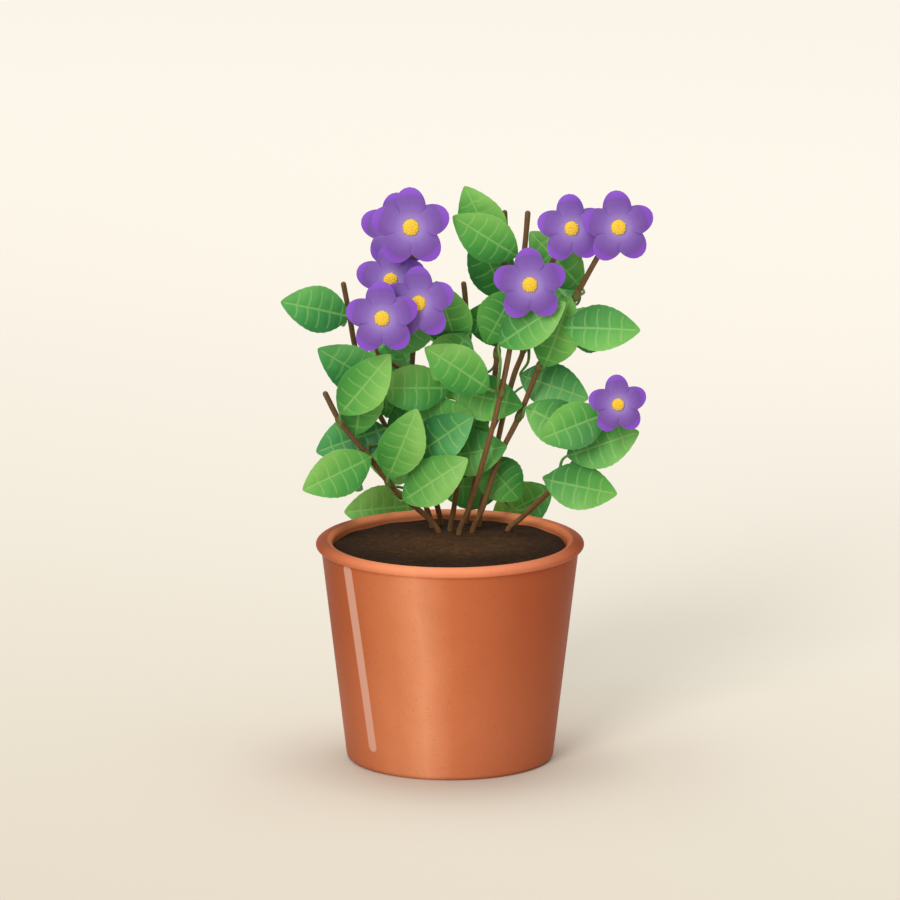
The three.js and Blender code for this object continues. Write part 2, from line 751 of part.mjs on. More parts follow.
// A cup whose middle carries the hub, and which opens into five pointed sepals, one behind each gap
// between two petals.
function calyxSolid(bloom) {
  const seat = -(HUB_DEPTH / 2 + GAP);
  const front = seat - CALYX_DROP;
  const rim = front - SEPAL_THICKNESS;
  const back = front - CALYX_DEPTH;
  const outline = [[0, back], [STALK_RADIUS, back], [CALYX_RADIUS, rim], [CALYX_RADIUS, front], [0, seat]];
  const cup = lathe(outline, 2 * PETAL_COUNT).rotateZ(Math.PI / 2 + BLOOM_LEAN + Math.PI / PETAL_COUNT);
  const places = cup.attributes.position;
  for (let i = 0; i < places.count; i++) {
    const x = places.getX(i);
    const y = places.getY(i);
    const angle = Math.atan2(x, y) + BLOOM_LEAN;
    const onRim = Math.hypot(x, y) > 0.9 * CALYX_RADIUS;
    const sepal = Math.cos(PETAL_COUNT * angle) < 0;
    if (!onRim || !sepal) continue;
    places.setX(i, (x * SEPAL_REACH) / CALYX_RADIUS);
    places.setY(i, (y * SEPAL_REACH) / CALYX_RADIUS);
  }
  return turnedTo(bloomFrame(bloom), solidOf(cup));
}

// ---- the plant ----------------------------------------------------------------------------------

const plant = new THREE.Group();
plant.add(meshOf("pot", potSolid(), FINISHES.terracotta()));
plant.add(meshOf("soil", soilSolid(Object.keys(STEMS).map(stemRoom)), FINISHES.soil()));
for (const name of Object.keys(STEMS))
  plant.add(meshOf(name, stemSolid(name), FINISHES.stem()));
for (const [name, spray] of Object.entries(SPRAYS))
  plant.add(meshOf(name, spraySolid(spray), FINISHES.leaf()));
for (const [name, bloom] of Object.entries(BLOOMS)) {
  plant.add(meshOf(`${name}_petals`, petalsSolid(bloom), FINISHES.petal()));
  plant.add(meshOf(`${name}_eye`, eyeSolid(bloom), FINISHES.eye()));
  plant.add(meshOf(`${name}_calyx`, calyxSolid(bloom), FINISHES.calyx()));
}

export default plant;
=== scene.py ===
"""A potted african violet as finer pieces in place of the CAD solids, lit and seen as in the photograph.

The layout is in millimetres, as in the CAD part. A place (across, up, depth) is measured in the front
view: to the right of the pot's axis, up the picture from the rim's centre, and away from the viewer.
"""

from collections import namedtuple
from math import cos, pi, radians, sin, sqrt

import bmesh
import bpy
import numpy as np
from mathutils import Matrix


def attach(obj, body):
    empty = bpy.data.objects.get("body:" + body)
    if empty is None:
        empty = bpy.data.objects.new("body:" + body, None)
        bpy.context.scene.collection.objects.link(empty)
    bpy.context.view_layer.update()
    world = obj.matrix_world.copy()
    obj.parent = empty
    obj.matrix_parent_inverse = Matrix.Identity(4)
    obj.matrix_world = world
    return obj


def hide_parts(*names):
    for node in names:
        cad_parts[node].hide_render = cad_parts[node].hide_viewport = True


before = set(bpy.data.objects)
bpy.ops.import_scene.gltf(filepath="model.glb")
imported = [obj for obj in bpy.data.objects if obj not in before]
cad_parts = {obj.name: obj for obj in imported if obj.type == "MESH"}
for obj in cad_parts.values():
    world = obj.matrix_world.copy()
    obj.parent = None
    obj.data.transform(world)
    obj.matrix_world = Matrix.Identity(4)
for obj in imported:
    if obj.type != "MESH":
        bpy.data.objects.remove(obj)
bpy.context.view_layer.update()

MM = 0.001
TURN = 2 * pi
RANDOM = np.random.default_rng(260)

# Camera
VIEW_TILT = radians(13)
CAMERA_DISTANCE = 5.0  # metres from the camera to the pot's axis
CAMERA_RISE = 39.5  # mm by which the picture's middle lies above the rim's centre
PICTURE_WIDTH = 402.4  # mm at the pot's axis
SENSOR_WIDTH = 36

# Floor and lights, in metres
FLOOR_RADIUS = 6
LIGHT_DISTANCE = 5.6
LIGHT_TARGET = 0.11  # height on the pot's axis that both lights face

# Pot
POT_HEIGHT = 100
MOUTH_RADIUS = 52.4
LIP_CENTRE = (56.2, 97.6)
LIP_HALF_WIDTH = 3.8
LIP_HALF_HEIGHT = 2.4
LIP_FROM = -0.9  # radians round the lip's oval section
LIP_TO = 3.3
LIP_STEPS = 28
SHOULDER = (57.6, 95.8)
FOOT_RADIUS = 46.2
FOOT_ROUNDING = 2.5
LOW_RADIUS = 46.5
INSIDE_FLOOR_RADIUS = 41.5
POT_FLOOR = 6
POT_SIDES = 256
FLAT_RADII = (20, 38)  # of the first rings of the underside
FOOT_STEPS = 8
WALL_ROWS = 48
INSIDE_ROWS = 12
DRAIN_RADIUS = 4
DRAIN_RING = 22
DRAIN_COUNT = 3

CLAY_TONES_AND_PAINTED_LIGHT = [  # degrees round the pot from its front, to the right, and the clay's colour there, with a painted highlight near -14 and painted shade towards the flanks
    (-180, "b0623c"), (-80, "98431c"), (-65, "a5502a"), (-50, "b66038"), (-28, "cf7b50"), (-14, "e4956d"),
    (2, "ca7046"), (35, "b25b38"), (60, "a5512f"), (80, "983c12"), (120, "a2532f"), (180, "b0623c"),
]
# A painted highlight streak down the pot's left flank, in place of a reflection.
HIGHLIGHT_STREAK_ENDS = ((radians(-46.5), 12.5), (radians(-52.6), 93.4))  # (angle, height in mm)
HIGHLIGHT_STREAK_HALF_WIDTH = 2.6
HIGHLIGHT_STREAK_COLOUR = "dcab98"

# Soil
SOIL_TOP = 96.4
SOIL_UNEVENNESS = 0.5
SOIL_WAVES = (0.21, 0.17)  # radians per mm, across and away from the viewer
SOIL_EDGE = 51.6
SOIL_RINGS = 90
SOIL_SIDES = 180
CRUMB_COUNT = 650
CRUMB_SIZES = (0.25, 1.0)  # radii
CRUMB = np.array(
    [(0, 0, 1), (0.9, 0, 0.2), (0.3, 0.86, 0.25), (-0.73, 0.53, 0.1), (-0.7, -0.5, 0.3), (0.3, -0.8, 0.2)]
)
CRUMB_FACES = [(0, 1, 2), (0, 2, 3), (0, 3, 4), (0, 4, 5), (0, 5, 1), (1, 5, 4, 3, 2)]

# Stems and stalks
STEM_RADIUS = 1.25
STALK_RADIUS = 0.9
ROOT_DEPTH = 24
STEM_SIDES = 14
STEM_STEP = 0.9  # mm between two rings of a stem
STEM_LUMPS = 0.045  # share of the radius by which a stem swells and narrows
LUMP_LENGTHS = (2.1, 3.7, 5.9)

# Leaves
LEAF_HALF_WIDTH = 10.5
LEAF_BELLY = 0.92
LEAF_FULLNESS = 0.82
LEAF_CUP = 1.5
LEAF_ARCH = 1.6
LEAF_THICKNESS = 0.55
LEAF_EDGE_THICKNESS = 0.25
LEAF_END = 0.35  # half width at the tip
LEAF_QUILT = 0.3  # the blade bulges this much between two side veins
LEAF_TEETH = 11  # shallow scallops along each edge
LEAF_TOOTH = 0.012  # share of the width
LEAF_WAVE = 0.3  # mm by which the edge waves
LEAF_WAVES = 2.6
LEAF_CROSS_SHADE = 0.3  # painted shade: how much lighter the right edge is than the midrib, seen from the base
KEEL = 0.55  # the midrib stands this much behind the blade at its base
SIDE_VEINS = (0.13, 0.3, 0.46, 0.62, 0.78)  # shares of the length where they leave the midrib
VEIN_ROW = 0.017  # share of the length between a vein's crest and its foot
VEIN_HEIGHT = 0.12
VEIN_END = 0.88  # share of the half width that the side veins reach
VEIN_BEND = 0.12
VEIN_BEND_ROOM = 0.12  # share of the length over which the bend grows at either end
MIDRIB_HEIGHT = 0.2
LEAF_BASE_ROWS = (0, 0.02, 0.05, 0.08)
LEAF_TIP_ROWS = (0.82, 0.85, 0.88, 0.91, 0.94, 0.965, 0.985, 1)
LEAF_COLUMNS = (0, 0.06, 0.13, 0.22, 0.32, 0.42, 0.52, 0.62, 0.71, 0.8, 0.88, 0.94, 0.98, 1)
PETIOLE_RADIUS = 0.7
PETIOLE_TIP_RADIUS = 0.45
PETIOLE_STEP = 0.9
PETIOLE_OUT = 0.14
PETIOLE_IN = 0.28
PETIOLE_IN_LEAF = 4
SLEEVE_RADIUS = 1.85
SLEEVE_HALF = 3.0
SLEEVE_WALL_MIDDLE = 2.2  # from the stem's axis, where a petiole starts

# Blooms
PETAL_COUNT = 5
PETAL_HALF_LENGTH = 0.5  # share of the bloom's radius
PETAL_HALF_WIDTH = 0.395
PETAL_OVERLAP = radians(3)  # by which each petal reaches under the next near its edge
PETAL_STEP = 0.32  # mm by which one side of a petal stands in front of the other
PETAL_CUP = 1.1
PETAL_DROOP = 0.5
PETAL_THICKNESS = 0.45
PETAL_RUFFLE = 0.25
PETAL_ROWS = 26
PETAL_COLUMNS = 25
BLOOM_LEAN = radians(3)
EYE_RADIUS = 0.205  # share of the bloom's radius
EYE_LOW = 0.5
EYE_HEIGHT = 2.4
EYE_GRAINS = 34
GOLDEN_ANGLE = pi * (3 - sqrt(5))
HUB_HALF = 0.8
GAP = 0.3
CALYX_RADIUS = 2.4
CALYX_DEPTH = 3.4
CALYX_DROP = 0.9
CALYX_NECK = 1.3
SEPAL_ROOT = 1.2
SEPAL_REACH = 6
SEPAL_HALF_WIDTH = 1.3
SEPAL_THICKNESS = 0.4

# Hairs
HAIR_RADIUS = 0.035
PETIOLE_HAIRS = 46
CALYX_HAIRS = 110
EDGE_HAIRS = 30  # along each edge of a blade

# Layout. A foot is (x, y) in the soil. A leaf's shade is (at its base, at its tip), from 0 dark to
# 1 light: the leaf's own green with painted light and shade, dark at the base, light at the tip, and
# raised on leaves that sit in the plant's shade. Its petiole passes the places in via. A share (at)
# is measured along the stem.
Stem = namedtuple("Stem", "foot points bloom", defaults=[None])
Stalk = namedtuple("Stalk", "stem at bloom points")
Bloom = namedtuple("Bloom", "centre radius turn nod")
Spray = namedtuple("Spray", "stem at leaves")
Leaf = namedtuple("Leaf", "base tip shade teal roll via", defaults=[(0.4, 0.7), 0.0, 0, ()])

STEMS = {
    "stem_left": Stem((-5, 27), [
        (-15.6, 14, 22), (-22.9, 19.2, 17), (-29.1, 27, 12), (-38, 38.6, 6), (-48.7, 51.6, 2),
        (-56.1, 65.6, 0),
    ]),
    "stem_far_left": Stem((-8, 37), [
        (-16, 26, 35), (-33, 58, 32), (-39, 72, 29), (-41.5, 82, 25), (-42.8, 87.1, 22),
        (-45.1, 100.8, 15), (-47.7, 114.5, 12),
    ]),
    "stem_middle": Stem((0, 30), [
        (2, 15, 28), (5, 40, 25), (8, 62, 25.5), (7.7, 85.7, 22), (6.9, 106.4, 20), (6, 114.8, 19),
    ]),
    "stem_back": Stem((7, 42), [
        (9, 15, 41), (13, 35, 37), (17, 55, 32), (20.1, 72.9, 26), (21.3, 85.6, 24), (23, 105, 21),
        (24.9, 130, 18.5), (24.3, 146.5, 17.5),
    ]),
    "stem_front": Stem((4, 24), [
        (8.6, 13.7, 20), (14.7, 34.1, 12), (21.1, 57.7, 7), (26.5, 83.6, 6), (29.5, 103, 8),
        (33.2, 129.1, 8.5), (34.7, 146, 8),
    ]),
    "stem_right": Stem((10, 27), [
        (14.7, 13.7, 23), (21.8, 35.9, 22), (30.9, 54.4, 22.5), (40.4, 77.7, 16), (55.3, 106.5, 10),
        (65, 124.2, 5),
    ], "bloom_far_right"),
    "stem_inner": Stem((13, 38), [
        (14, 14, 37), (19, 32, 36), (24, 55, 31), (29, 74, 28), (32.5, 82.9, 27), (36, 100, 25.5),
        (44, 120, 16),
    ], "bloom_top_right"),
    "stem_low_right": Stem((26, 30), [
        (32, 9, 27), (40, 16.5, 20), (47.5, 24, 13), (55.4, 33.8, 9), (66, 43, 8), (72, 51, 5.5),
    ], "bloom_low_right"),
    "stem_bloom_bunch": Stem((-4, 43), [
        (-9, 25, 34), (-14, 42, 22.5), (-16, 55, 21.5), (-17, 75, 21.5), (-15.5, 95, 22),
        (-14.5, 108, 20), (-18, 125, 21),
    ], "bloom_top_left_back"),
}

STALKS = [
    Stalk("stem_front", 0.67, "bloom_right", [(32, 108, 6)]),
    Stalk("stem_bloom_bunch", 0.8, "bloom_top_left", [(-12, 114, 13), (-15, 122, 6.8), (-17, 130, 4)]),
    Stalk("stem_bloom_bunch", 0.79, "bloom_left", [(-21, 112, 14)]),
    Stalk("stem_bloom_bunch", 0.82, "bloom_middle", [(-11, 112, 10)]),
    Stalk("stem_bloom_bunch", 0.59, "bloom_front", [(-25, 77.5, 19), (-31, 81, 10), (-33, 86, 2)]),
]

BLOOMS = {
    "bloom_top_left": Bloom((-17.3, 138.3, -6), 17.9, turn=-4, nod=3),
    "bloom_top_left_back": Bloom((-23.5, 137.6, 15.5), 16.8, turn=-6, nod=-3),
    "bloom_left": Bloom((-26.3, 115, 2), 15.9, turn=-5, nod=0),
    "bloom_middle": Bloom((-13.9, 104.8, -9), 16.5, turn=-8, nod=4),
    "bloom_front": Bloom((-30.1, 98, -16), 16.5, turn=-3, nod=5),
    "bloom_top_right": Bloom((54, 137.9, 4), 15.6, turn=5, nod=-3),
    "bloom_far_right": Bloom((74.7, 138.3, -6), 16.5, turn=7, nod=3),
    "bloom_right": Bloom((35.5, 113, -3), 16.6, turn=0, nod=4),
    "bloom_low_right": Bloom((74.6, 59.8, -15), 13.4, turn=6, nod=5),
}

SPRAYS = {
    "leaves_left_top": Spray("stem_left", 0.86, [
        Leaf((-48.9, 55.6, -2), (-26.8, 82, -8), (0.45, 0.95), roll=8),
    ]),
    "leaves_left_middle": Spray("stem_left", 0.68, [
        Leaf((-35.3, 36.2, 3), (-65.7, 21.6, -4), (0.48, 0.88), roll=-8),
        Leaf((-42, 46.2, 9), (-37.5, 79.7, 11), (0.4, 0.75)),
        Leaf((-29, 49.3, 18), (-59.9, 38.6, 19), (0.15, 0.6), teal=0.6,
             via=[(-37, 41, 12), (-28.5, 43, 17), (-25.5, 46.5, 18.5)]),
        Leaf((-43, 29.5, 20), (-53, 27, 46), (0.5, 0.8), roll=-50),
    ]),
    "leaves_left_low": Spray("stem_left", 0.52, [
        Leaf((-27.7, 27, 7), (-14.8, 57.8, 0), (0.52, 0.98), roll=8),
        Leaf((-21, 16.7, 12), (7.9, 35.5, 4), (0.55, 1.0), roll=-6),
        Leaf((-15.6, 14.5, 64), (-47.8, 11.4, 60), (0.65, 0.9),
             via=[(-27, 22, 24), (-24, 23, 38), (-14, 20, 54), (-10, 17, 62)]),
    ]),
    "leaves_far_left": Spray("stem_far_left", 0.9, [
        Leaf((-45.1, 99, 9), (-75.3, 105.4, 2), (0.25, 0.72), teal=0.35, roll=6),
        Leaf((-48, 104, 24), (-60, 104, 52), roll=-50),
    ]),
    "leaves_middle_top": Spray("stem_middle", 0.8, [
        Leaf((3.8, 84.2, 15), (-6.3, 114.6, 6), (0.3, 0.6)),
        Leaf((8, 91, 10), (-7.2, 70.8, 8), (0.4, 0.85)),
        Leaf((4, 92, 42), (-14, 106, 62), roll=180),
    ]),
    "leaves_middle": Spray("stem_middle", 0.63, [
        Leaf((0, 67.2, 13.5), (-33.5, 67.2, 12), (0.35, 0.9)),
        Leaf((0.5, 66.3, 19), (32.5, 59.2, 18.5), (0.6, 0.45)),
    ]),
    "leaves_back_top": Spray("stem_back", 0.87, [Leaf((21.3, 126.2, 13), (6.5, 156.8, 11), (0.5, 0.92))]),
    "leaves_back_upper": Spray("stem_back", 0.75, [
        Leaf((25.5, 106.6, 27), (10.7, 137, 27), (0.25, 0.5)),
        Leaf((29, 111, 15), (15.9, 86.9, 16), (0.3, 0.5)),
        Leaf((24, 122, 41), (11, 142, 58), roll=180, via=[(24, 110, 30), (25, 116, 37)]),
    ]),
    "leaves_back_middle": Spray("stem_back", 0.62, [Leaf((16, 74, 40), (-12, 70, 54), roll=180)]),
    "leaves_back_low": Spray("stem_back", 0.36, [
        Leaf((5.4, 27, 31.5), (12.5, 58.3, 31), (0.32, 0.55)),
        Leaf((15, 35.5, 31.5), (31.1, 17.2, 31), (0.6, 0.5)),
        Leaf((9, 46, 48), (-17, 52, 64), roll=180),
        Leaf((35, 69, 46), (58, 68, 60), (0.45, 0.75), roll=180),
    ]),
    "leaves_front_top": Spray("stem_front", 0.87, [
        Leaf((29.9, 125.8, 7), (1.3, 143.4, 2), (0.35, 0.82), roll=-6),
    ]),
    "leaves_front": Spray("stem_front", 0.54, [
        Leaf((17.4, 66.6, 5), (-11.2, 85.1, 0), (0.42, 0.88), roll=8),
        Leaf((21.7, 86.4, 2.5), (51.4, 105.2, 0.5), (0.35, 0.85), roll=-12, via=[(22.5, 79, 1.5)]),
    ]),
    "leaves_right_top": Spray("stem_right", 0.78, [
        Leaf((58.9, 111.9, 23), (35.8, 137, 28), (0.5, 0.7)),
        Leaf((54, 106, 38), (40, 122, 62), roll=180),
    ]),
    "leaves_right_middle": Spray("stem_right", 0.58, [
        Leaf((50.5, 94, 2.5), (84.6, 92.7, -4), (0.3, 0.78), roll=-8,
             via=[(50, 84, 14.5), (57, 86.5, 12), (59.5, 89, 8), (57, 92, 5)]),
        Leaf((42.2, 76.6, 12), (53.6, 107.9, 7), (0.5, 0.82), roll=6),
        Leaf((52, 93, 30), (75, 95, 44), roll=170),
    ]),
    "leaves_right_low": Spray("stem_right", 0.44, [
        Leaf((34, 58.6, 15), (63.9, 43.5, 10.5), (0.65, 0.4), via=[(32.5, 54.5, 17.5)]),
    ]),
    "leaves_inner_top": Spray("stem_inner", 0.63, [
        Leaf((35.8, 94.5, 33), (5.1, 98.5, 33), (0.45, 0.4)),
        Leaf((31.4, 73, 30), (62, 62.5, 26), (0.5, 0.9), teal=0.5, via=[(35, 79, 29.5)]),
    ]),
    "leaves_inner_low": Spray("stem_inner", 0.25, [
        Leaf((24, 23, 49), (-6, 23, 49), (0.5, 0.9)),
        Leaf((46, 21.6, 62), (18.8, 7.3, 66), (0.5, 0.85), via=[(32, 12, 58)]),
    ]),
    "leaves_low_right": Spray("stem_low_right", 0.57, [
        Leaf((42, 26.3, 5), (74.6, 19.8, 1), (0.38, 0.78)),
        Leaf((52.2, 36.8, 2), (84.3, 47.6, -1), (0.28, 0.8)),
        Leaf((58, 36, 22), (72, 41, 50), roll=50),
    ]),
    "leaves_far_right": Spray("stem_low_right", 0.67, [
        Leaf((70, 55.8, -6), (40.2, 44.4, -5), (0.3, 0.75),
             via=[(64.5, 48, 5.5), (67, 54.5, 2.5), (70.5, 57.2, -2.5)]),
        Leaf((70, 50, 20), (82, 58, 46), roll=60, via=[(65, 42, 14)]),
    ]),
    "leaves_bunch_low": Spray("stem_bloom_bunch", 0.31, [
        Leaf((-17.9, 35.5, 14), (10.3, 54.7, 9.5), (0.25, 0.65), teal=0.5),
        Leaf((-22.4, 50.7, 18), (9.8, 56, 13.5), (0.75, 0.8)),
        Leaf((-4, 36, 23.5), (25.5, 41.1, 19.6), (0.6, 0.5)),
        Leaf((-14, 33, 46), (-38, 36, 62), roll=180),
    ]),
    "leaves_bunch_middle": Spray("stem_bloom_bunch", 0.555, [
        Leaf((-3, 61.5, 29.5), (-28, 50, 29.5), (0.45, 0.35), teal=0.5),
        Leaf((-29, 54.7, 28), (-25.9, 88.7, 28), (0.55, 0.7), teal=0.4),
        Leaf((-30, 67.7, 20.5), (-59, 84.7, 13), (0.4, 0.68), teal=0.45),
        Leaf((-28, 83, 19), (-5, 108, 17), (0.42, 0.6), teal=0.3),
        Leaf((-19, 76, 38), (-36, 90, 58), roll=180),
    ]),
}


# Places and curves

TO_VIEWER = np.array([0, -cos(VIEW_TILT), sin(VIEW_TILT)])
RIGHTWARDS = np.array([1.0, 0, 0])
UPRIGHT = np.array([0, 0, 1.0])


def seen(place):
    """A place of the front view, in mm along x, y and z."""
    across, up, depth = place
    rise = (up - depth * sin(VIEW_TILT)) / cos(VIEW_TILT)
    return np.array([across, depth, POT_HEIGHT + rise])


def unit(vector):
    return vector / np.linalg.norm(vector)


def turned(vector, axis, angle):
    """vector turned round the unit vector axis."""
    along = axis * np.dot(axis, vector)
    return along + (vector - along) * cos(angle) + np.cross(axis, vector) * sin(angle)


def ring_place(radius, angle, height=0.0):
    return np.array([radius * cos(angle), radius * sin(angle), height])


def ring(radius, sides, height=0.0):
    """Places on a level ring round the upright axis."""
    angles = np.arange(sides) * TURN / sides
    return np.stack([radius * np.cos(angles), radius * np.sin(angles), np.full(sides, height)], axis=-1)


def rings(outline, sides):
    """Rings through an outline of (radius, height)."""
    return np.concatenate([ring(radius, sides, height) for radius, height in outline])


class Line:
    """A smooth curve through places, walked by the share of its length."""

    SPAN_STEPS = 40

    def __init__(self, places):
        places = [np.asarray(place, float) for place in places]
        ends = [2 * places[0] - places[1], *places, 2 * places[-1] - places[-2]]
        points = []
        for a, b, c, d in zip(ends, ends[1:], ends[2:], ends[3:]):
            points.extend(self.span(a, b, c, d))
        points.append(places[-1])
        self.points = np.array(points)
        steps = np.linalg.norm(np.diff(self.points, axis=0), axis=1)
        self.walked = np.concatenate([[0], np.cumsum(steps)])
        self.length = self.walked[-1]

    def span(self, a, b, c, d):
        """Points from b up to c, on the centripetal curve through a, b, c and d."""
        pairs = ((a, b), (b, c), (c, d))
        before, here, after = (max(1e-3, sqrt(np.linalg.norm(q - p))) for p, q in pairs)
        leave = ((b - a) / before - (c - a) / (before + here) + (c - b) / here) * here
        reach = ((c - b) / here - (d - b) / (here + after) + (d - c) / after) * here
        return bezier(b, b + leave / 3, c - reach / 3, c, self.SPAN_STEPS)[:-1]

    def at(self, share):
        place = np.clip(share, 0, 1) * self.length
        return np.stack([np.interp(place, self.walked, self.points[:, i]) for i in range(3)], axis=-1)

    def along(self, share):
        """The unit vector in which the curve runs."""
        return unit(self.at(min(1, share + 1e-3)) - self.at(max(0, share - 1e-3)))


def bezier(a, b, c, d, steps):
    t = np.linspace(0, 1, steps + 1)[:, None]
    return a * (1 - t) ** 3 + 3 * b * t * (1 - t) ** 2 + 3 * c * t**2 * (1 - t) + d * t**3


def mixed(a, b, share):
    return a + (b - a) * share


def clipped(value):
    return np.clip(value, 0, 1)


def smooth(value, low, high):
    """0 below low, 1 above high, and a soft step in between."""
    t = clipped((value - low) / (high - low))
    return t * t * (3 - 2 * t)


# Meshes


def net(rows, columns):
    """Faces of a net of vertices, row after row, with its last column joined to the first."""
    faces = []
    for here in range(0, (rows - 1) * columns, columns):
        for column in range(columns):
            beside, above = here + (column + 1) % columns, here + columns
            faces.append((here + column, beside, beside + columns, above + column))
    return faces


def loops(rows, columns):
    """Faces of a closed skin of rings, with a lid on the first ring and on the last one."""
    last = (rows - 1) * columns
    lids = [tuple(range(columns))[::-1], tuple(range(last, last + columns))]
    return net(rows, columns) + lids


def linked(name, data):
    """A new object of the scene that holds data."""
    thing = bpy.data.objects.new(name, data)
    bpy.context.scene.collection.objects.link(thing)
    return thing


def face_outwards(mesh):
    """Turns every face so that it looks out of its body."""
    working = bmesh.new()
    working.from_mesh(mesh)
    bmesh.ops.recalc_face_normals(working, faces=working.faces)
    working.to_mesh(mesh)
    working.free()


class Pile:
    """Many small shapes gathered into one mesh, with named values on their vertices."""

    def __init__(self, *names):
        self.places = []
        self.faces = []
        self.finishes = []
        self.values = {name: [] for name in names}
        self.count = 0

    def add(self, places, faces, finish=0, **values):
        places = np.asarray(places, float).reshape(-1, 3)
        self.places.append(places)
        self.faces.extend(tuple(self.count + i for i in face) for face in faces)
        self.finishes.extend([finish] * len(faces))
        for name, column in self.values.items():
            value = np.asarray(values.get(name, 0.0), float).reshape(-1)
            column.append(np.broadcast_to(value, len(places)) if len(value) == 1 else value)
        self.count += len(places)

    def add_fanned(self, skin, sides, low, high):
        """A skin of rings, closed by a fan round the height low at its first and high at its last."""
        count, last = len(skin), len(skin) - sides
        faces = net(count // sides, sides)
        for i in range(sides):
            j = (i + 1) % sides
            faces += [(count, j, i), (count + 1, last + i, last + j)]
        self.add([*skin, (0, 0, low), (0, 0, high)], faces)

    def mesh(self, name):
        mesh = bpy.data.meshes.new(name)
        mesh.from_pydata((np.concatenate(self.places) * MM).tolist(), [], self.faces)
        return mesh

    def piece(self, node, slot, *materials, sharp=40):
        """The mesh as a visual piece that stands for a CAD node and rides on its body."""
        mesh = self.mesh(node + "_fine")
        for name, column in self.values.items():
            layer = mesh.attributes.new(name, "FLOAT", "POINT")
            layer.data.foreach_set("value", np.concatenate(column).astype(np.float32))
        for material in materials:
            mesh.materials.append(material)
        mesh.polygons.foreach_set("material_index", self.finishes)
        face_outwards(mesh)
        mesh.shade_smooth()
        mesh.set_sharp_from_angle(angle=radians(sharp))
        mesh.update()
        piece = linked(node + "_fine", mesh)
        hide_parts(node)
        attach(piece, "root")
        return piece


def ring_frames(points):
    """Two unit vectors square to a chain of points at each of them, turning as little as they can."""
    runs = np.gradient(points, axis=0)
    runs /= np.linalg.norm(runs, axis=1)[:, None]
    first = np.cross(runs[0], UPRIGHT if abs(runs[0][2]) < 0.9 else RIGHTWARDS)
    firsts = []
    for run in runs:
        first = unit(first - run * np.dot(run, first))
        firsts.append(first)
    return np.array(firsts), np.cross(runs, firsts)


def rod(pile, points, radii, sides, finish=0, **values):
    """A round rod along points, with a radius at each of them. values may hold one number per point."""
    firsts, seconds = ring_frames(points)
    circle = ring(1, sides)
    spread = circle[:, 0, None] * firsts[:, None] + circle[:, 1, None] * seconds[:, None]
    places = points[:, None] + spread * radii[:, None, None]
    values = {name: np.repeat(value, sides) if np.ndim(value) else value for name, value in values.items()}
    pile.add(places, loops(len(points), sides), finish, **values)


def hair(pile, root, direction, length, finish):
    """A thin three-sided hair."""
    side = unit(np.cross(direction, UPRIGHT + 0.3 * TO_VIEWER))
    other = np.cross(direction, side)
    foot = [root + HAIR_RADIUS * (cos(a) * side + sin(a) * other) for a in (0, 2.1, 4.2)]
    pile.add([*foot, root + direction * length], [(0, 1, 3), (1, 2, 3), (2, 0, 3)], finish)


# Pot and soil


def inside_radius(height):
    share = (height - POT_FLOOR) / (LIP_CENTRE[1] - POT_FLOOR)
    return mixed(INSIDE_FLOOR_RADIUS, MOUTH_RADIUS, share)


def pot_outline():
    """(radius, height) from near the middle of the underside round the wall and the lip to the floor."""
    corners = [(FOOT_RADIUS - FOOT_ROUNDING, 0), (FOOT_RADIUS, 0), (LOW_RADIUS, FOOT_ROUNDING)]
    start, corner, end = np.array(corners)
    foot = bezier(start, mixed(start, corner, 2 / 3), mixed(end, corner, 2 / 3), end, FOOT_STEPS)
    wall = np.linspace(end, SHOULDER, WALL_ROWS + 1)[1:]
    angles = np.linspace(LIP_FROM, LIP_TO, LIP_STEPS + 1)
    oval = np.stack([LIP_HALF_WIDTH * np.cos(angles), LIP_HALF_HEIGHT * np.sin(angles)], axis=-1)
    heights = np.linspace(LIP_CENTRE[1] - 3, POT_FLOOR, INSIDE_ROWS + 1)
    inside = [(inside_radius(height), height) for height in heights]
    under = [(radius, 0) for radius in FLAT_RADII]
    return [*under, *foot, *wall, *(oval + LIP_CENTRE), *inside, (FLAT_RADII[0], POT_FLOOR)]


def drill(piece):
    """Cuts the drain holes through the pot's floor."""
    drills = Pile()
    for i in range(DRAIN_COUNT):
        axis = [ring_place(DRAIN_RING, i * TURN / DRAIN_COUNT, z) for z in (-3, 3, 9)]
        rod(drills, np.array(axis), np.full(3, DRAIN_RADIUS), 32)
    cutter = linked("drills", drills.mesh("drills"))
    cut = piece.modifiers.new("drain", "BOOLEAN")
    cut.operation = "DIFFERENCE"
    cut.object = cutter
    cut.solver = "EXACT"
    drilled = bpy.data.meshes.new_from_object(piece.evaluated_get(bpy.context.evaluated_depsgraph_get()))
    piece.modifiers.clear()
    piece.data = drilled
    bpy.data.objects.remove(cutter)


def make_pot(material):
    """A body turned round the axis from the outline, with its drain holes cut."""
    pile = Pile()
    pile.add_fanned(rings(pot_outline(), POT_SIDES), POT_SIDES, 0, POT_FLOOR)
    drill(pile.piece("pot", "pot", material, sharp=50))


def ripples(x, y, count, shortest, longest):
    """A sum of waves in random directions, within about -1 to 1."""
    total = np.zeros_like(x)
    for _ in range(count):
        angle, length = RANDOM.uniform(0, TURN), RANDOM.uniform(shortest, longest)
        phase = RANDOM.uniform(0, TURN)
        total += np.sin((x * cos(angle) + y * sin(angle)) * TURN / length + phase)
    return total / sqrt(count)


def soil_height(x, y):
    return SOIL_TOP + SOIL_UNEVENNESS * np.sin(SOIL_WAVES[0] * x) * np.cos(SOIL_WAVES[1] * y)


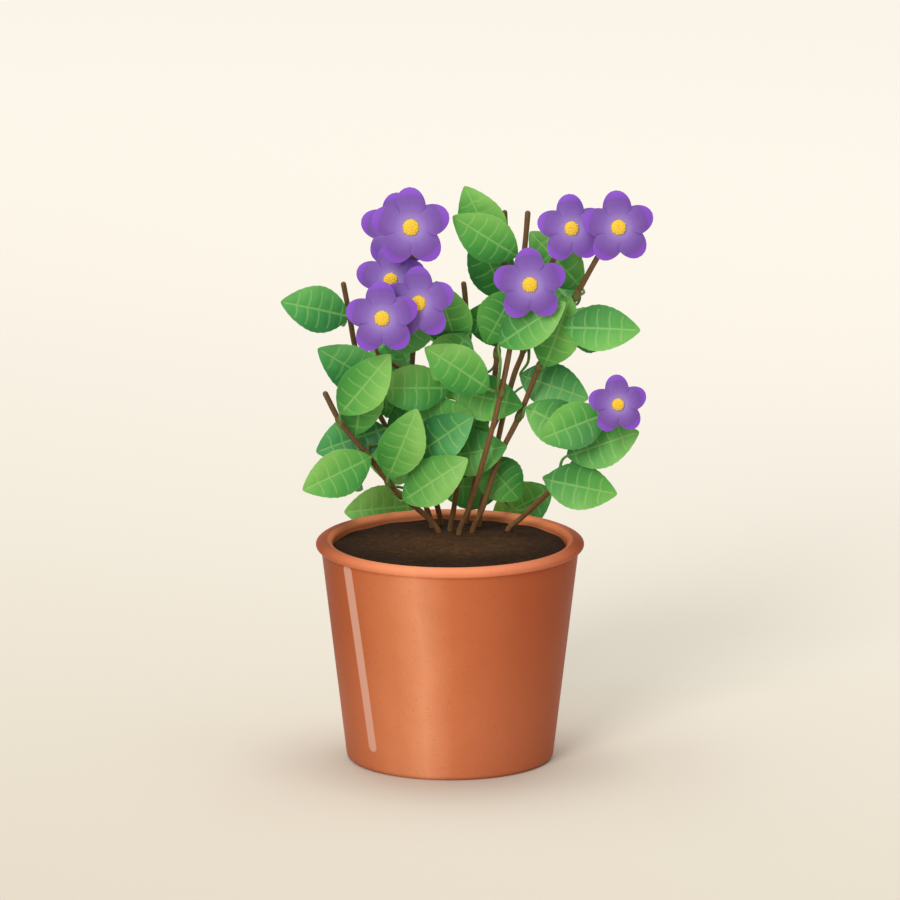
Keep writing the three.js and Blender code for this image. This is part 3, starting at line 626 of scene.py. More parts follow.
def add_crumb(pile):
    """A crumb half sunk in the soil at a random place."""
    radius = (SOIL_EDGE - 1.5) * sqrt(RANDOM.uniform())
    place = ring_place(radius, RANDOM.uniform(0, TURN))
    size = mixed(*CRUMB_SIZES, RANDOM.uniform() ** 2.5)
    place[2] = soil_height(place[0], place[1]) - 0.35 * size
    spin = RANDOM.uniform(0, TURN)
    shape = CRUMB * RANDOM.uniform(0.7, 1.2, (len(CRUMB), 1)) * size * np.array([1, 1, 0.8])
    pile.add([place + turned(corner, UPRIGHT, spin) for corner in shape], CRUMB_FACES)


def make_soil(material):
    spans = np.linspace(0, 1, SOIL_RINGS + 1)[1:, None] * SOIL_EDGE
    circle = ring(1, SOIL_SIDES)
    x, y = spans * circle[:, 0], spans * circle[:, 1]
    fine = 0.1 * ripples(x, y, 14, 2.2, 9) + 0.12 * ripples(x, y, 8, 9, 20)
    z = soil_height(x, y) + fine * clipped((SOIL_EDGE - spans) / 2)
    low = POT_FLOOR + GAP
    skin = [*np.stack([x, y, z], axis=-1).reshape(-1, 3), *ring(inside_radius(low) - GAP, SOIL_SIDES, low)]
    pile = Pile()
    pile.add_fanned(skin, SOIL_SIDES, z[0].mean(), low)
    for _ in range(CRUMB_COUNT):
        add_crumb(pile)
    pile.piece("soil", "soil", material, sharp=60)


# Stems


def bloom_frame(bloom):
    """(centre, right, up, facing) of a bloom, with facing towards the viewer."""
    facing = turned(TO_VIEWER, UPRIGHT, radians(bloom.turn))
    facing = turned(facing, RIGHTWARDS, radians(bloom.nod))
    right = unit(np.cross(UPRIGHT, facing))
    return seen(bloom.centre), right, np.cross(facing, right), facing


def end_behind(name):
    """The last two places of what carries a bloom, behind its calyx."""
    centre, _, _, facing = bloom_frame(BLOOMS[name])
    end = HUB_HALF + CALYX_DROP + CALYX_DEPTH + 2 * GAP
    return [centre - facing * back for back in (end + 4, end)]


def stem_line(name):
    stem = STEMS[name]
    places = [(*stem.foot, SOIL_TOP - ROOT_DEPTH * share) for share in (1, 0.5, 0)]
    places += [seen(point) for point in stem.points]
    if stem.bloom:
        places += end_behind(stem.bloom)
    return Line(places)


def stalk_line(stalk):
    start = stem_line(stalk.stem).at(stalk.at)
    return Line([start, *(seen(point) for point in stalk.points), *end_behind(stalk.bloom)])


def wood(pile, line, radius, rounded=False):
    """A stem or a stalk along line, with slight lumps. Its rings are closer together at its end."""
    end = radius / line.length
    body = np.linspace(0, 1 - end, max(3, int(line.length / STEM_STEP)))
    cap = 1 - end * (1 - np.sin(np.linspace(0.2, 1, 5) * pi / 2))
    shares = np.concatenate([body, cap])
    walked = shares * line.length
    lumps = sum(np.sin(walked / length + RANDOM.uniform(0, 6)) for length in LUMP_LENGTHS)
    radii = radius * (1 + STEM_LUMPS * lumps / len(LUMP_LENGTHS))
    if rounded:
        left = clipped((1 - shares) / end)
        radii = radii * np.sqrt(np.clip(1 - (1 - left) ** 2, 0.02, 1))
    rod(pile, line.at(shares), radii, STEM_SIDES, young=shares)


def make_stem(name, material):
    pile = Pile("young")
    wood(pile, stem_line(name), STEM_RADIUS, rounded=not STEMS[name].bloom)
    for stalk in STALKS:
        if stalk.stem == name:
            wood(pile, stalk_line(stalk), STALK_RADIUS)
    pile.piece(name, "stem", material)


# Leaves


def leaf_rows():
    """Shares of a leaf's length for its rows: three along each side vein, and some in between."""
    rows = [*LEAF_BASE_ROWS, SIDE_VEINS[0] - VEIN_ROW]
    for here, beyond in zip(SIDE_VEINS, SIDE_VEINS[1:]):
        rows += [here, *np.linspace(here + VEIN_ROW, beyond - VEIN_ROW, 5)]
    return np.array([*rows, SIDE_VEINS[-1], SIDE_VEINS[-1] + VEIN_ROW, *LEAF_TIP_ROWS])


def leaf_axes(leaf):
    """A leaf's base, its length, and the unit vectors along it, across it and out of its front."""
    base, tip = seen(leaf.base), seen(leaf.tip)
    length = np.linalg.norm(tip - base)
    axis = (tip - base) / length
    normal = unit(TO_VIEWER - axis * np.dot(TO_VIEWER, axis))
    normal = turned(normal, axis, radians(leaf.roll))
    return base, length, axis, np.cross(axis, normal), normal


def vein_height(rows, across):
    """How far the blade stands in front of its smooth form, and the share to the nearest side vein."""
    nearest = np.min(np.abs(rows[:, None] - np.array(SIDE_VEINS)), axis=1)
    bays = np.interp(rows, [0, *SIDE_VEINS, 1], range(len(SIDE_VEINS) + 2))
    quilt = LEAF_QUILT * np.sin(pi * bays) ** 2
    far = np.abs(across)
    spread = clipped(far / 0.22) * (1 - far**3)
    crest = VEIN_HEIGHT * clipped(1 - nearest / VEIN_ROW)
    height = quilt[:, None] * spread + crest[:, None] * clipped((VEIN_END - far) / 0.1)
    height += MIDRIB_HEIGHT * clipped(1 - far / 0.06) * (1 - 0.7 * rows[:, None])
    return height, nearest[:, None]


def add_blade(pile, leaf):
    """One leaf blade, as a closed skin of rings: across the front and back along the rear."""
    base, length, axis, side, normal = leaf_axes(leaf)
    rows = leaf_rows()
    across = np.array([*(-share for share in LEAF_COLUMNS[:0:-1]), *LEAF_COLUMNS])
    far = np.abs(across)
    room = np.minimum(1, np.minimum(rows, 1 - rows) / VEIN_BEND_ROOM)
    shares = rows[:, None] + VEIN_BEND * (across**2 - 0.8 * far) * room[:, None]
    inner = clipped(shares)
    outline = np.sin(pi * inner**LEAF_BELLY).clip(0) ** LEAF_FULLNESS
    start = RANDOM.uniform(0, 10)
    teeth = LEAF_TOOTH * np.sin(TURN * LEAF_TEETH * shares + start)
    half = mixed(LEAF_END, LEAF_HALF_WIDTH, outline) * (1 + teeth * far**6)
    wave = LEAF_WAVE * np.sin(TURN * LEAF_WAVES * shares + start + 2 * (across > 0)) * far**3
    height, nearest = vein_height(rows, across)
    lift = LEAF_ARCH * np.sin(pi * inner) + LEAF_CUP * outline * (far + far**2) / 2
    lift += (height + wave) * np.minimum(1, outline * 1.5)
    front = base + axis * (shares * length)[..., None] + normal * lift[..., None]
    front += side * (across * half)[..., None]
    thick = mixed(LEAF_THICKNESS, LEAF_EDGE_THICKNESS, far**4)
    keel = KEEL * clipped(1 - far / 0.1) * (1 - rows[:, None])
    back = front - normal * ((thick + keel) * np.minimum(1, 0.35 + outline))[..., None]

    def both(value):
        """A value of the front, row by row, and the same for the back."""
        value = np.broadcast_to(value, shares.shape)
        return np.concatenate([value, value[:, ::-1]], axis=1)

    pile.add(
        np.concatenate([front, back[:, ::-1]], axis=1),
        loops(len(rows), 2 * len(across)),
        along=both(shares),
        across=both(far),
        rib=both(nearest * length),
        mid=both(far * half),
        # the leaf's own green with painted shade, along the blade and across it
        tone=both(mixed(*leaf.shade, shares) + LEAF_CROSS_SHADE * across * outline),
        teal=leaf.teal,
    )
    return front


def petiole_line(centre, along, leaf):
    """From the sleeve's wall squarely outwards, round to the blade's base and on into the midrib."""
    base, length, axis, _, normal = leaf_axes(leaf)
    reach = np.linalg.norm(centre - base)
    bend = base - axis * PETIOLE_IN * reach
    via = [seen(place) for place in leaf.via]
    out = (via[0] if via else bend) - centre
    out = unit(out - along * np.dot(out, along))
    start = centre + out * SLEEVE_WALL_MIDDLE
    if via:
        places = [start, *via, base]
    else:
        clear = start + out * PETIOLE_OUT * reach
        places = bezier(start, clear, bend, base, 4)
    rise = LEAF_ARCH * sin(pi * PETIOLE_IN_LEAF / length)
    inside = base + axis * PETIOLE_IN_LEAF + normal * (rise - 0.5)
    return Line([centre + out * 0.6 * SLEEVE_WALL_MIDDLE, *places, inside])


def add_petiole(pile, centre, along, leaf):
    line = petiole_line(centre, along, leaf)
    shares = np.linspace(0, 1, max(12, int(line.length / PETIOLE_STEP)))
    radii = mixed(PETIOLE_RADIUS, PETIOLE_TIP_RADIUS, shares**2)
    radii *= 1 + 0.5 * np.exp(-shares * line.length / 1.6)
    rod(pile, line.at(shares), radii, 12, finish=1, along=shares, tone=leaf.shade[0], teal=leaf.teal)
    for _ in range(PETIOLE_HAIRS):
        share = RANDOM.uniform(0.1, 0.95)
        place, run = line.at(share), line.along(share)
        out = unit(np.cross(run, RANDOM.normal(size=3)))
        hair(pile, place + out * PETIOLE_RADIUS * 0.8, unit(out + 0.3 * run), RANDOM.uniform(0.4, 0.75), 2)


def add_sleeve(pile, line, at):
    """The swollen node round the stem from which the petioles grow."""
    shares = np.linspace(-1, 1, 17)
    swell = (1 - np.abs(shares) ** 2.2) ** 0.8
    radii = mixed(STEM_RADIUS * 0.95, SLEEVE_RADIUS, swell)
    points = line.at(at + shares * SLEEVE_HALF / line.length)
    rod(pile, points, radii, 18, finish=3, along=(shares + 1) / 2)


def add_edge_hairs(pile, front):
    """Short hairs along both edges of a blade."""
    for edge, inner in ((0, 1), (-1, -2)):
        for _ in range(EDGE_HAIRS):
            row = RANDOM.integers(2, len(front) - 2)
            blend = RANDOM.uniform()
            root = mixed(front[row, edge], front[row + 1, edge], blend)
            out = unit(front[row, edge] - front[row, inner])
            hair(pile, root, unit(out + RANDOM.normal(size=3) * 0.25), RANDOM.uniform(0.25, 0.5), 2)


def make_spray(name, materials):
    spray = SPRAYS[name]
    line = stem_line(spray.stem)
    pile = Pile("along", "across", "rib", "mid", "tone", "teal")
    add_sleeve(pile, line, spray.at)
    for leaf in spray.leaves:
        add_petiole(pile, line.at(spray.at), line.along(spray.at), leaf)
        add_edge_hairs(pile, add_blade(pile, leaf))
    pile.piece(name, "leaf", *materials)


# Blooms


def placed(bloom, places):
    """Places round the bloom's axis, with the upright petal along +Y, put where the bloom is."""
    centre, *axes = bloom_frame(bloom)
    return centre + np.asarray(places, float).reshape(-1, 3) @ np.stack(axes)


def petal_reach(angle):
    """How far a petal reaches at an angle from its axis: an oval that passes through the bloom's centre."""
    along, across = np.cos(angle) / PETAL_HALF_LENGTH, np.sin(angle) / PETAL_HALF_WIDTH
    return 2 * along / (along**2 + across**2)


def corolla_front(radius, start):
    """The front of five petals that are grown together round the eye, row after row outwards."""
    t = (1 - 0.94 * (1 - np.linspace(0, 1, PETAL_ROWS)) ** 1.4)[:, None]
    side = np.sin(np.linspace(-1, 1, PETAL_COLUMNS) * pi / 2)
    side = np.sign(side) * np.abs(side) ** 0.8
    angle = side * (pi / PETAL_COUNT * 0.992 + PETAL_OVERLAP * smooth(t, 0.55, 0.95))
    out = t * petal_reach(angle)
    lift = PETAL_CUP * np.sin(pi * clipped(out)) - PETAL_DROOP * side**2 * smooth(t, 0.5, 0.95)
    lift += PETAL_STEP * side * smooth(t, 0.55, 0.9)
    places = []
    for i in range(PETAL_COUNT):
        turn = TURN * i / PETAL_COUNT - BLOOM_LEAN + angle
        ruffle = PETAL_RUFFLE * np.sin(5 * side + start + 2.4 * i) * smooth(t, 0.6, 1)
        sideways, upwards = radius * out * np.sin(turn), radius * out * np.cos(turn)
        places.append(np.stack([sideways, upwards, lift + ruffle], axis=-1))
    sides = [np.broadcast_to(side + 3 * i, out.shape) for i in range(PETAL_COUNT)]
    return np.hstack(places), np.hstack(sides), np.hstack([out] * PETAL_COUNT)


def make_petals(name, bloom, material):
    start = RANDOM.uniform(0, 6)
    front, side, out = corolla_front(bloom.radius, start)
    rear = front - UPRIGHT * (PETAL_THICKNESS * (1 - 0.6 * smooth(out, 0.6, 1)))[..., None]
    skin, side, out = (np.concatenate([a, b[::-1]]) for a, b in ((front, rear), (side, side), (out, out)))
    pile = Pile("out", "across", "seed")
    pile.add(placed(bloom, skin), loops(len(skin), skin.shape[1]), out=out, across=side, seed=start)
    pile.piece(name + "_petals", "petal", material, sharp=60)


def make_eye(name, bloom, material):
    """A low dome with grains set round it in a spiral."""
    pile = Pile("height")
    radius = EYE_RADIUS * bloom.radius
    rows, sides = 12, 28
    angles = np.linspace(0, 1, rows) * pi / 2
    outline = [(radius * cos(a) ** 0.75, EYE_LOW + EYE_HEIGHT * sin(a)) for a in angles]
    heights = np.repeat(np.sin(angles), sides)
    pile.add(placed(bloom, rings(outline, sides)), loops(rows, sides), height=heights)
    for i in range(EYE_GRAINS):
        share = sqrt((i + 0.5) / EYE_GRAINS) * 0.93
        height = EYE_LOW + EYE_HEIGHT * sqrt(1 - share**2.7)
        add_grain(pile, bloom, ring_place(radius * share, i * GOLDEN_ANGLE, height), 0.115 * radius + 0.1)
    pile.piece(name + "_eye", "eye", material, sharp=60)


def add_grain(pile, bloom, middle, size):
    rows, sides = 5, 8
    angles = np.linspace(-0.48, 0.48, rows) * pi
    ball = rings([(size * cos(a), 0.7 * size * sin(a)) for a in angles], sides)
    pile.add(placed(bloom, middle + ball), loops(rows, sides), height=1.2)


def make_calyx(name, bloom, material, hair_material):
    """A cup behind the petals that opens into five pointed sepals."""
    pile = Pile("along")
    front = -(HUB_HALF + GAP) - CALYX_DROP
    back = front - CALYX_DEPTH

    def cup(t):
        """The cup's radius and height at a share of its depth, from the stalk forwards."""
        swell = sin(t * pi / 2) ** 0.8
        return mixed(STALK_RADIUS, CALYX_RADIUS, swell), mixed(back, front, t)

    rows, sides = 9, 20
    steps = np.linspace(0, 1, rows)
    outline = [*(cup(t) for t in steps), (CALYX_NECK, -0.2)]
    shares = np.repeat([*(0.3 * steps), 0.2], sides)
    pile.add(placed(bloom, rings(outline, sides)), loops(rows + 1, sides), along=shares)
    for i in range(PETAL_COUNT):
        add_sepal(pile, bloom, TURN * (i + 0.5) / PETAL_COUNT - BLOOM_LEAN, front)
    for _ in range(CALYX_HAIRS):
        angle = RANDOM.uniform(0, TURN)
        radius, height = cup(RANDOM.uniform(0.05, 1))
        root = ring_place(radius, angle, height)
        out = unit(ring_place(1, angle, -0.4) + RANDOM.normal(size=3) * 0.2)
        root, end = placed(bloom, [root * 0.99, root + out])
        hair(pile, root, unit(end - root), RANDOM.uniform(0.35, 0.65), 1)
    pile.piece(name + "_calyx", "calyx", material, hair_material)


def add_sepal(pile, bloom, angle, front):
    axis = np.array([sin(angle), cos(angle), 0])
    side = np.cross(axis, UPRIGHT)
    rows, columns = 12, 7
    t = np.linspace(0, 1, rows)[:, None]
    across = np.linspace(-1, 1, columns)
    far = np.abs(across)
    half = SEPAL_HALF_WIDTH * np.sqrt(np.clip(1 - t**2, 0.004, 1))
    lift = front - 0.6 + 0.5 * np.sin(pi * t * 0.9) - 0.3 * t + 0.25 * far**1.5
    face = axis * mixed(SEPAL_ROOT, SEPAL_REACH, t)[..., None]
    face = face + side * (half * across)[..., None] + UPRIGHT * lift[..., None]
    rear = face - UPRIGHT * (SEPAL_THICKNESS * (1 - 0.5 * far))[:, None]
    skin = np.concatenate([face, rear[:, ::-1]], axis=1)
    pile.add(placed(bloom, skin), loops(rows, 2 * columns), along=np.repeat(0.3 + 0.7 * t, 2 * columns))


# Materials


def linear(code):
    """Linear red, green, blue and alpha of an sRGB colour such as "4fa84a"."""
    parts = [int(code[i : i + 2], 16) / 255 for i in (0, 2, 4)]
    return (*[p / 12.92 if p <= 0.04045 else ((p + 0.055) / 1.055) ** 2.4 for p in parts], 1)


class Look:
    """A node material under construction: its Principled shader, and short ways to add nodes."""

    def __init__(self, name, **constants):
        self.material = bpy.data.materials.new(name)
        self.material.use_nodes = True
        self.tree = self.material.node_tree
        self.shader = self.tree.nodes["Principled BSDF"]
        self.place = self.add("ShaderNodeTexCoord").outputs["Object"]
        for socket, value in constants.items():
            self.shader.inputs[socket.replace("_", " ")].default_value = value

    def add(self, kind, **settings):
        node = self.tree.nodes.new(kind)
        for name, value in settings.items():
            setattr(node, name, value)
        return node

    def put(self, source, socket):
        """Joins source, an output or a constant, to an input."""
        if isinstance(source, bpy.types.NodeSocket):
            self.tree.links.new(source, socket)
        else:
            socket.default_value = source

    def fed(self, kind, sources, **settings):
        """The outputs of a new node whose first inputs are fed in their order, or by their names."""
        node = self.add(kind, **settings)
        named = sources.items() if isinstance(sources, dict) else enumerate(sources)
        for socket, source in named:
            self.put(source, node.inputs[socket])
        return node.outputs

    def value(self, name):
        """A value that the mesh carries on its vertices."""
        return self.add("ShaderNodeAttribute", attribute_name=name).outputs["Fac"]

    def math(self, operation, *sources):
        return self.fed("ShaderNodeMath", sources, operation=operation)[0]

    def times(self, a, b):
        return self.math("MULTIPLY", a, b)

    def plus(self, a, b):
        return self.math("ADD", a, b)

    def less(self, a, b):
        return self.math("SUBTRACT", a, b)

    def length(self, x, y):
        return self.math("SQRT", self.plus(self.math("POWER", x, 2), self.math("POWER", y, 2)))

    def between(self, source, low, high, to_low=0.0, to_high=1.0):
        """source mapped smoothly from low..high to to_low..to_high."""
        sources = (source, low, high, to_low, to_high)
        return self.fed("ShaderNodeMapRange", sources, interpolation_type="SMOOTHSTEP")[0]

    def noise(self, scale, detail, roughness=0.55, place=None):
        place = place or self.place
        sources = {"Vector": place, "Scale": scale, "Detail": detail, "Roughness": roughness}
        return self.fed("ShaderNodeTexNoise", sources)["Fac"]

    def cells(self, scale):
        return self.fed("ShaderNodeTexVoronoi", {"Vector": self.place, "Scale": scale})["Distance"]

    def stretched(self, *scales):
        return self.fed("ShaderNodeVectorMath", (self.place, scales), operation="MULTIPLY")[0]

    def parts(self):
        """The x, y and z of the place."""
        return self.fed("ShaderNodeSeparateXYZ", (self.place,))[:]

    def ramp(self, source, *stops):
        """Colours by source. Each stop is (position, sRGB code)."""
        node = self.add("ShaderNodeValToRGB")
        elements = node.color_ramp.elements
        while len(elements) < len(stops):
            elements.new(0.5)
        for element, (position, code) in zip(elements, stops):
            element.position = position
            element.color = linear(code)
        self.put(source, node.inputs[0])
        return node.outputs[0]

    def mix(self, share, a, b, blend="MIX"):
        """Colour a with a share of colour b over it. b may be an sRGB code."""
        b = linear(b) if isinstance(b, str) else b
        sources = {0: share, 6: a, 7: b}
        return self.fed("ShaderNodeMix", sources, data_type="RGBA", blend_type=blend)[2]

    def bump(self, height, distance, strength, under=None):
        sources = {"Height": height, "Distance": distance * MM, "Strength": strength}
        if under:
            sources["Normal"] = under
        return self.fed("ShaderNodeBump", sources)[0]

    def see_through(self, share, colour):
        """Lets a share of the light pass through a thin blade."""
        through = self.fed("ShaderNodeBsdfTranslucent", {"Color": colour})[0]
        both = self.fed("ShaderNodeMixShader", (share, self.shader.outputs[0], through))[0]
        self.put(both, self.tree.nodes["Material Output"].inputs["Surface"])

    def done(self, colour, bump=None):
        """The finished material, with its colour and its bumps."""
        self.put(colour, self.shader.inputs["Base Color"])
        if bump:
            self.put(bump, self.shader.inputs["Normal"])
        return self.material


def terracotta():
    """Glazed clay with painted light: its colour turns round the pot from a painted highlight to painted
    shade, and a narrow painted highlight streak crosses the left flank.
    """
    look = Look("terracotta", Coat_Weight=0.03, Coat_Roughness=0.2, Coat_IOR=1.3, Specular_IOR_Level=0.04)
    x, y, z = look.parts()
    angle = look.math("ARCTAN2", x, look.times(y, -1))
    broad = look.noise(22, 4)
    drift = look.between(broad, 0.3, 0.7, -0.006, 0.006)
    share = look.plus(look.math("DIVIDE", angle, TURN), look.plus(drift, 0.5))
    # Clay colour round the pot, with a painted highlight at the front left and painted shade on the flanks.
    colour = look.ramp(share, *[(0.5 + degrees / 360, code) for degrees, code in CLAY_TONES_AND_PAINTED_LIGHT])
    # Painted highlight on the lip, strongest at its front and back.
    lip = look.between(z, (SHOULDER[1] - 0.6) * MM, (SHOULDER[1] + 0.4) * MM)
    lip_highlight = look.math("POWER", look.math("ABSOLUTE", look.math("COSINE", angle)), 2)
    colour = look.mix(look.times(look.times(lip, lip_highlight), 0.65), colour, "ff9e74")
    # Painted light on the inner wall below the lip, lifting the shade that the plant casts there.
    lip_radius = LIP_CENTRE[0]
    inner = look.between(look.length(x, y), (lip_radius - 2.2) * MM, (lip_radius - 0.6) * MM, 1, 0)
    inner = look.times(inner, look.between(z, 0.08, 0.09))
    colour = look.mix(look.times(inner, 0.5), colour, "ee8f5c")
    # Painted light, lighter towards the foot, lifting the shade on the lower wall.
    colour = look.mix(look.between(z, 0, 0.085, 0.16, 0), colour, "ffa97c")
    colour = look.mix(look.between(look.noise(60, 5, 0.65), 0.35, 0.7, 0, 0.12), colour, "b4552f")
    specks = look.between(look.noise(900, 2), 0.62, 0.72)
    colour = look.mix(look.times(specks, 0.25), colour, "8a4a2e")
    # Painted highlight streak on the left flank.
    colour = look.mix(look.times(highlight_streak(look, angle, z), 0.75), colour, HIGHLIGHT_STREAK_COLOUR)
    look.put(look.between(broad, 0.3, 0.7, 0.36, 0.48), look.shader.inputs["Roughness"])
    turning = look.noise(1, 3, place=look.stretched(6, 6, 900))
    return look.done(colour, look.bump(turning, 0.05, 0.3, look.bump(look.noise(1500, 2), 0.03, 0.35)))


def highlight_streak(look, angle, z):
    """How much of the painted highlight streak shows at an angle round the pot, in radians, and a height,
    in metres.
    """
    (low_angle, low), (high_angle, high) = HIGHLIGHT_STREAK_ENDS
    height = look.times(z, 1000)
    rise = look.math("DIVIDE", look.less(height, low), high - low)
    middle = look.plus(look.times(rise, high_angle - low_angle), low_angle)
    aside = look.times(look.less(angle, middle), (LOW_RADIUS + SHOULDER[0]) / 2)
    beyond = look.less(height, look.math("MINIMUM", look.math("MAXIMUM", height, low), high))
    distance = look.length(aside, beyond)
    return look.between(distance, HIGHLIGHT_STREAK_HALF_WIDTH - 0.35, HIGHLIGHT_STREAK_HALF_WIDTH + 0.35, 1, 0)


def soil():
    """Moist potting soil, with painted shade that is darkest along the pot's wall and reaches furthest in
    at the front.
    """
    look = Look("soil", Roughness=0.95, Specular_IOR_Level=0.15)
    colour = look.ramp(look.noise(420, 6, 0.7), (0.25, "36230f"), (0.5, "4f351e"), (0.75, "6c4b2c"))
    x, y, _ = look.parts()
    # Painted shade along the pot's wall, deepest at the front, under the rim.
    radius = look.length(x, look.times(look.less(y, 0.006), 1.5))
    edge = look.between(radius, 0.012, (SOIL_EDGE + 4) * MM, 0, 0.9)
    colour = look.mix(edge, colour, look.mix(1, colour, "80705f", blend="MULTIPLY"))
    return look.done(colour, look.bump(look.noise(1100, 5, 0.7), 0.2, 0.7))


def bark():
    """Lengthwise fibres, darker towards the stem's young end."""
    look = Look("bark", Roughness=0.7)
    fibre = look.noise(1, 4, 0.6, place=look.stretched(1500, 1500, 160))
    colour = look.ramp(fibre, (0.25, "6a4c27"), (0.5, "805a31"), (0.75, "91693a"))
    colour = look.mix(look.between(look.value("young"), 0.3, 0.85, 0, 0.55), colour, "4a3616")
    return look.done(colour, look.bump(fibre, 0.12, 0.7))


def leaf_colour(look, tone):
    greens = ["25682f", "348638", "469e40", "5eb44c", "7bc65a", "98d76c"]
    green = look.ramp(tone, *[(0.2 * i, code) for i, code in enumerate(greens)])
    teal = look.ramp(tone, (0, "1f6a44"), (0.3, "328a56"), (0.6, "4dab6a"), (0.9, "70c682"))
    return look.mix(look.value("teal"), green, teal)


def blade_green():
    look = Look("blade", Roughness=0.48, Sheen_Weight=0.12, Sheen_Roughness=0.5, Specular_IOR_Level=0.35)
    along, across = look.value("along"), look.value("across")
    tone = look.plus(look.value("tone"), look.between(look.noise(90, 3), 0.3, 0.7, -0.04, 0.04))
    edge = look.between(across, 0.9, 1, 0, 0.25)
    blade = look.mix(edge, leaf_colour(look, tone), leaf_colour(look, look.plus(tone, 0.2)))
    side_half = look.between(across, 0, 0.85, 0.45, 0.34)
    side = look.between(look.less(side_half, look.value("rib")), -0.1, 0.1)
    side = look.times(side, look.between(across, 0.78, 0.84, 1, 0))
    middle_half = look.between(along, 0, 1, 0.52, 0.3)
    middle = look.between(look.less(middle_half, look.value("mid")), -0.1, 0.1)
    middle = look.times(middle, look.between(along, 0.93, 0.97, 1, 0))
    veins = look.math("MAXIMUM", look.times(side, 0.6), look.times(middle, 0.85))
    vein = look.ramp(tone, (0, "66aa5a"), (0.5, "88c868"), (0.9, "a8dc7c"))
    colour = look.mix(veins, blade, vein)
    look.see_through(0.18, colour)
    return look.done(colour, look.bump(look.cells(1300), 0.1, 0.35))


def grainy(look, grain, low, high, share, over, relief):
    """A material of two tones by grain, with a share of a third colour over them."""
    colour = look.ramp(grain, (0.3, low), (0.7, high))
    return look.done(look.mix(share, colour, over), look.bump(grain, *relief))


def petiole_green():
    look = Look("petiole", Roughness=0.6)
    brown = look.between(look.value("along"), 0.05, 0.7, 0.8, 0)
    return grainy(look, look.noise(700, 3), "4c8c36", "63a346", brown, "5a5222", (0.08, 0.5))


def hair_white():
    look = Look("hair", Roughness=0.5)
    return look.done(look.ramp(look.noise(300, 1), (0.3, "b9d59a"), (0.7, "dcebc6")))


def node_bark():
    look = Look("node", Roughness=0.65)
    green = look.between(look.math("PINGPONG", look.value("along"), 0.5), 0.15, 0.5, 0, 0.55)
    return grainy(look, look.noise(650, 4), "5f4620", "745a2c", green, "64842f", (0.12, 0.7))


def petal_violet():
    look = Look("petal", Roughness=0.55, Sheen_Weight=0.12, Sheen_Roughness=0.4, Specular_IOR_Level=0.25)
    out, across = look.value("out"), look.value("across")
    place = (look.times(across, 9), look.times(out, 2.2), look.value("seed"))
    streaks = look.noise(1, 3, 0.6, place=look.fed("ShaderNodeCombineXYZ", place)[0])
    ragged = look.plus(out, look.times(look.less(streaks, 0.5), 0.025))
    # The petals' own violet, with a painted highlight that pales it towards the eye.
    body = look.ramp(
        out, (0.2, "ad96e2"), (0.3, "a084d6"), (0.42, "926ec6"), (0.6, "855db8"), (0.8, "7d54ae")
    )
    tip = look.ramp(out, (0.78, "8a50ca"), (1, "965ad8"))
    colour = look.mix(look.between(ragged, 0.788, 0.806), body, tip)
    colour = look.mix(look.between(streaks, 0.45, 0.75, 0, 0.12), colour, "6a3f9a")
    look.see_through(0.12, colour)
    return look.done(colour, look.bump(look.cells(2200), 0.05, 0.35, look.bump(streaks, 0.1, 0.3)))


def eye_yellow():
    look = Look("eye", Roughness=0.7)
    low = look.between(look.value("height"), 0, 0.35, 0.45, 0)
    return grainy(look, look.noise(1400, 2), "f6c62c", "fddc4a", low, "e0a020", (0.1, 0.6))


def calyx_green():
    look = Look("calyx", Roughness=0.55, Sheen_Weight=0.2)
    tips = look.between(look.value("along"), 0.6, 1, 0, 0.4)
    return grainy(look, look.noise(600, 3), "45823a", "5c9a48", tips, "7a6a50", (0.08, 0.5))


def floor_pale():
    """Plain pale floor, with painted shade on the side the key light comes from, where its light is
    strongest.
    """
    look = Look("floor", Roughness=0.95, Specular_IOR_Level=0.05)
    x, y, _ = look.parts()
    away = look.between(look.plus(look.times(x, 0.5), look.times(y, 0.85)), -0.9, 1.3)
    return look.done(look.ramp(away, (0, "ccc2b0"), (1, "eee9df")))


# The plant

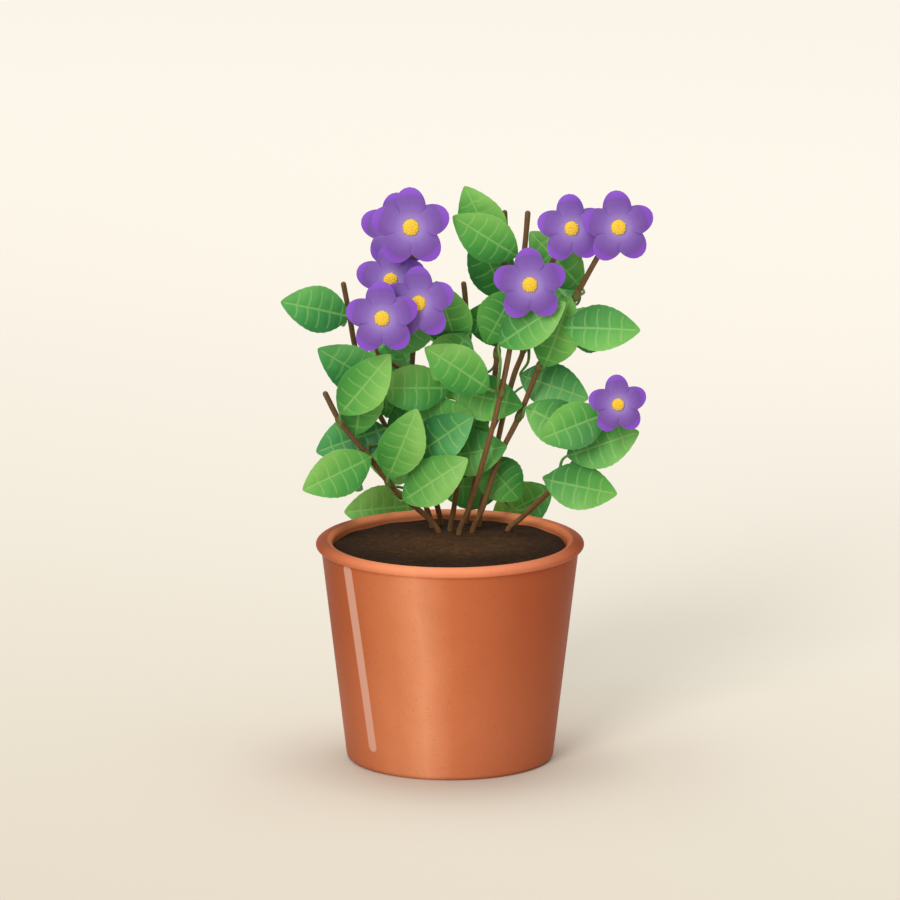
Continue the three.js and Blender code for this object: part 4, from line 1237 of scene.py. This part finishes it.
make_pot(terracotta())
make_soil(soil())
stem_bark = bark()
for stem_name in STEMS:
    make_stem(stem_name, stem_bark)
hairs = hair_white()
spray_looks = (blade_green(), petiole_green(), hairs, node_bark())
for spray_name in SPRAYS:
    make_spray(spray_name, spray_looks)
petal_look, eye_look, calyx_look = petal_violet(), eye_yellow(), calyx_green()
for bloom_name, bloom_spec in BLOOMS.items():
    make_petals(bloom_name, bloom_spec, petal_look)
    make_eye(bloom_name, bloom_spec, eye_look)
    make_calyx(bloom_name, bloom_spec, calyx_look, hairs)


# Floor, light and camera


def make_floor(material):
    sides = 96
    mesh = bpy.data.meshes.new("floor")
    mesh.from_pydata(ring(FLOOR_RADIUS, sides).tolist(), [], [tuple(range(sides))])
    mesh.materials.append(material)
    floor = linked("floor", mesh)


def make_light(name, azimuth, elevation, size, power, colour):
    """A soft box that stands at an azimuth from the front, leftwards positive, and faces the plant."""
    data = bpy.data.lights.new(name, "AREA")
    data.shape = "RECTANGLE"
    data.size, data.size_y = size
    data.energy = power
    data.color = colour
    light = linked(name, data)
    turn, rise = radians(azimuth), radians(elevation)
    back = np.array([-sin(turn) * cos(rise), -cos(turn) * cos(rise), sin(rise)])
    light.location = UPRIGHT * LIGHT_TARGET + back * LIGHT_DISTANCE
    light.rotation_euler = (pi / 2 - rise, 0, -turn)


def make_world(colour, strength):
    world = bpy.data.worlds.new("studio")
    bpy.context.scene.world = world
    world.use_nodes = True
    background = world.node_tree.nodes["Background"]
    background.inputs["Color"].default_value = (*colour, 1)
    background.inputs["Strength"].default_value = strength


def make_camera():
    data = bpy.data.cameras.new("camera")
    data.sensor_width = SENSOR_WIDTH
    data.lens = SENSOR_WIDTH * CAMERA_DISTANCE / (PICTURE_WIDTH * MM)
    data.clip_start, data.clip_end = 0.1, 50
    camera = linked("camera", data)
    up = np.array([0, sin(VIEW_TILT), cos(VIEW_TILT)])
    target = UPRIGHT * POT_HEIGHT * MM + up * CAMERA_RISE * MM
    camera.location = target + TO_VIEWER * CAMERA_DISTANCE
    camera.rotation_euler = (pi / 2 - VIEW_TILT, 0, 0)
    bpy.context.scene.camera = camera


make_floor(floor_pale())
make_world((0.985, 0.98, 0.965), 0.5)
make_light("key", 22, 30, (1.8, 3.4), 165, (1, 0.985, 0.96))
make_light("top", 180, 76, (4, 4), 190, (1, 0.99, 0.975))
make_camera()
bpy.context.scene.view_settings.view_transform = "Standard"
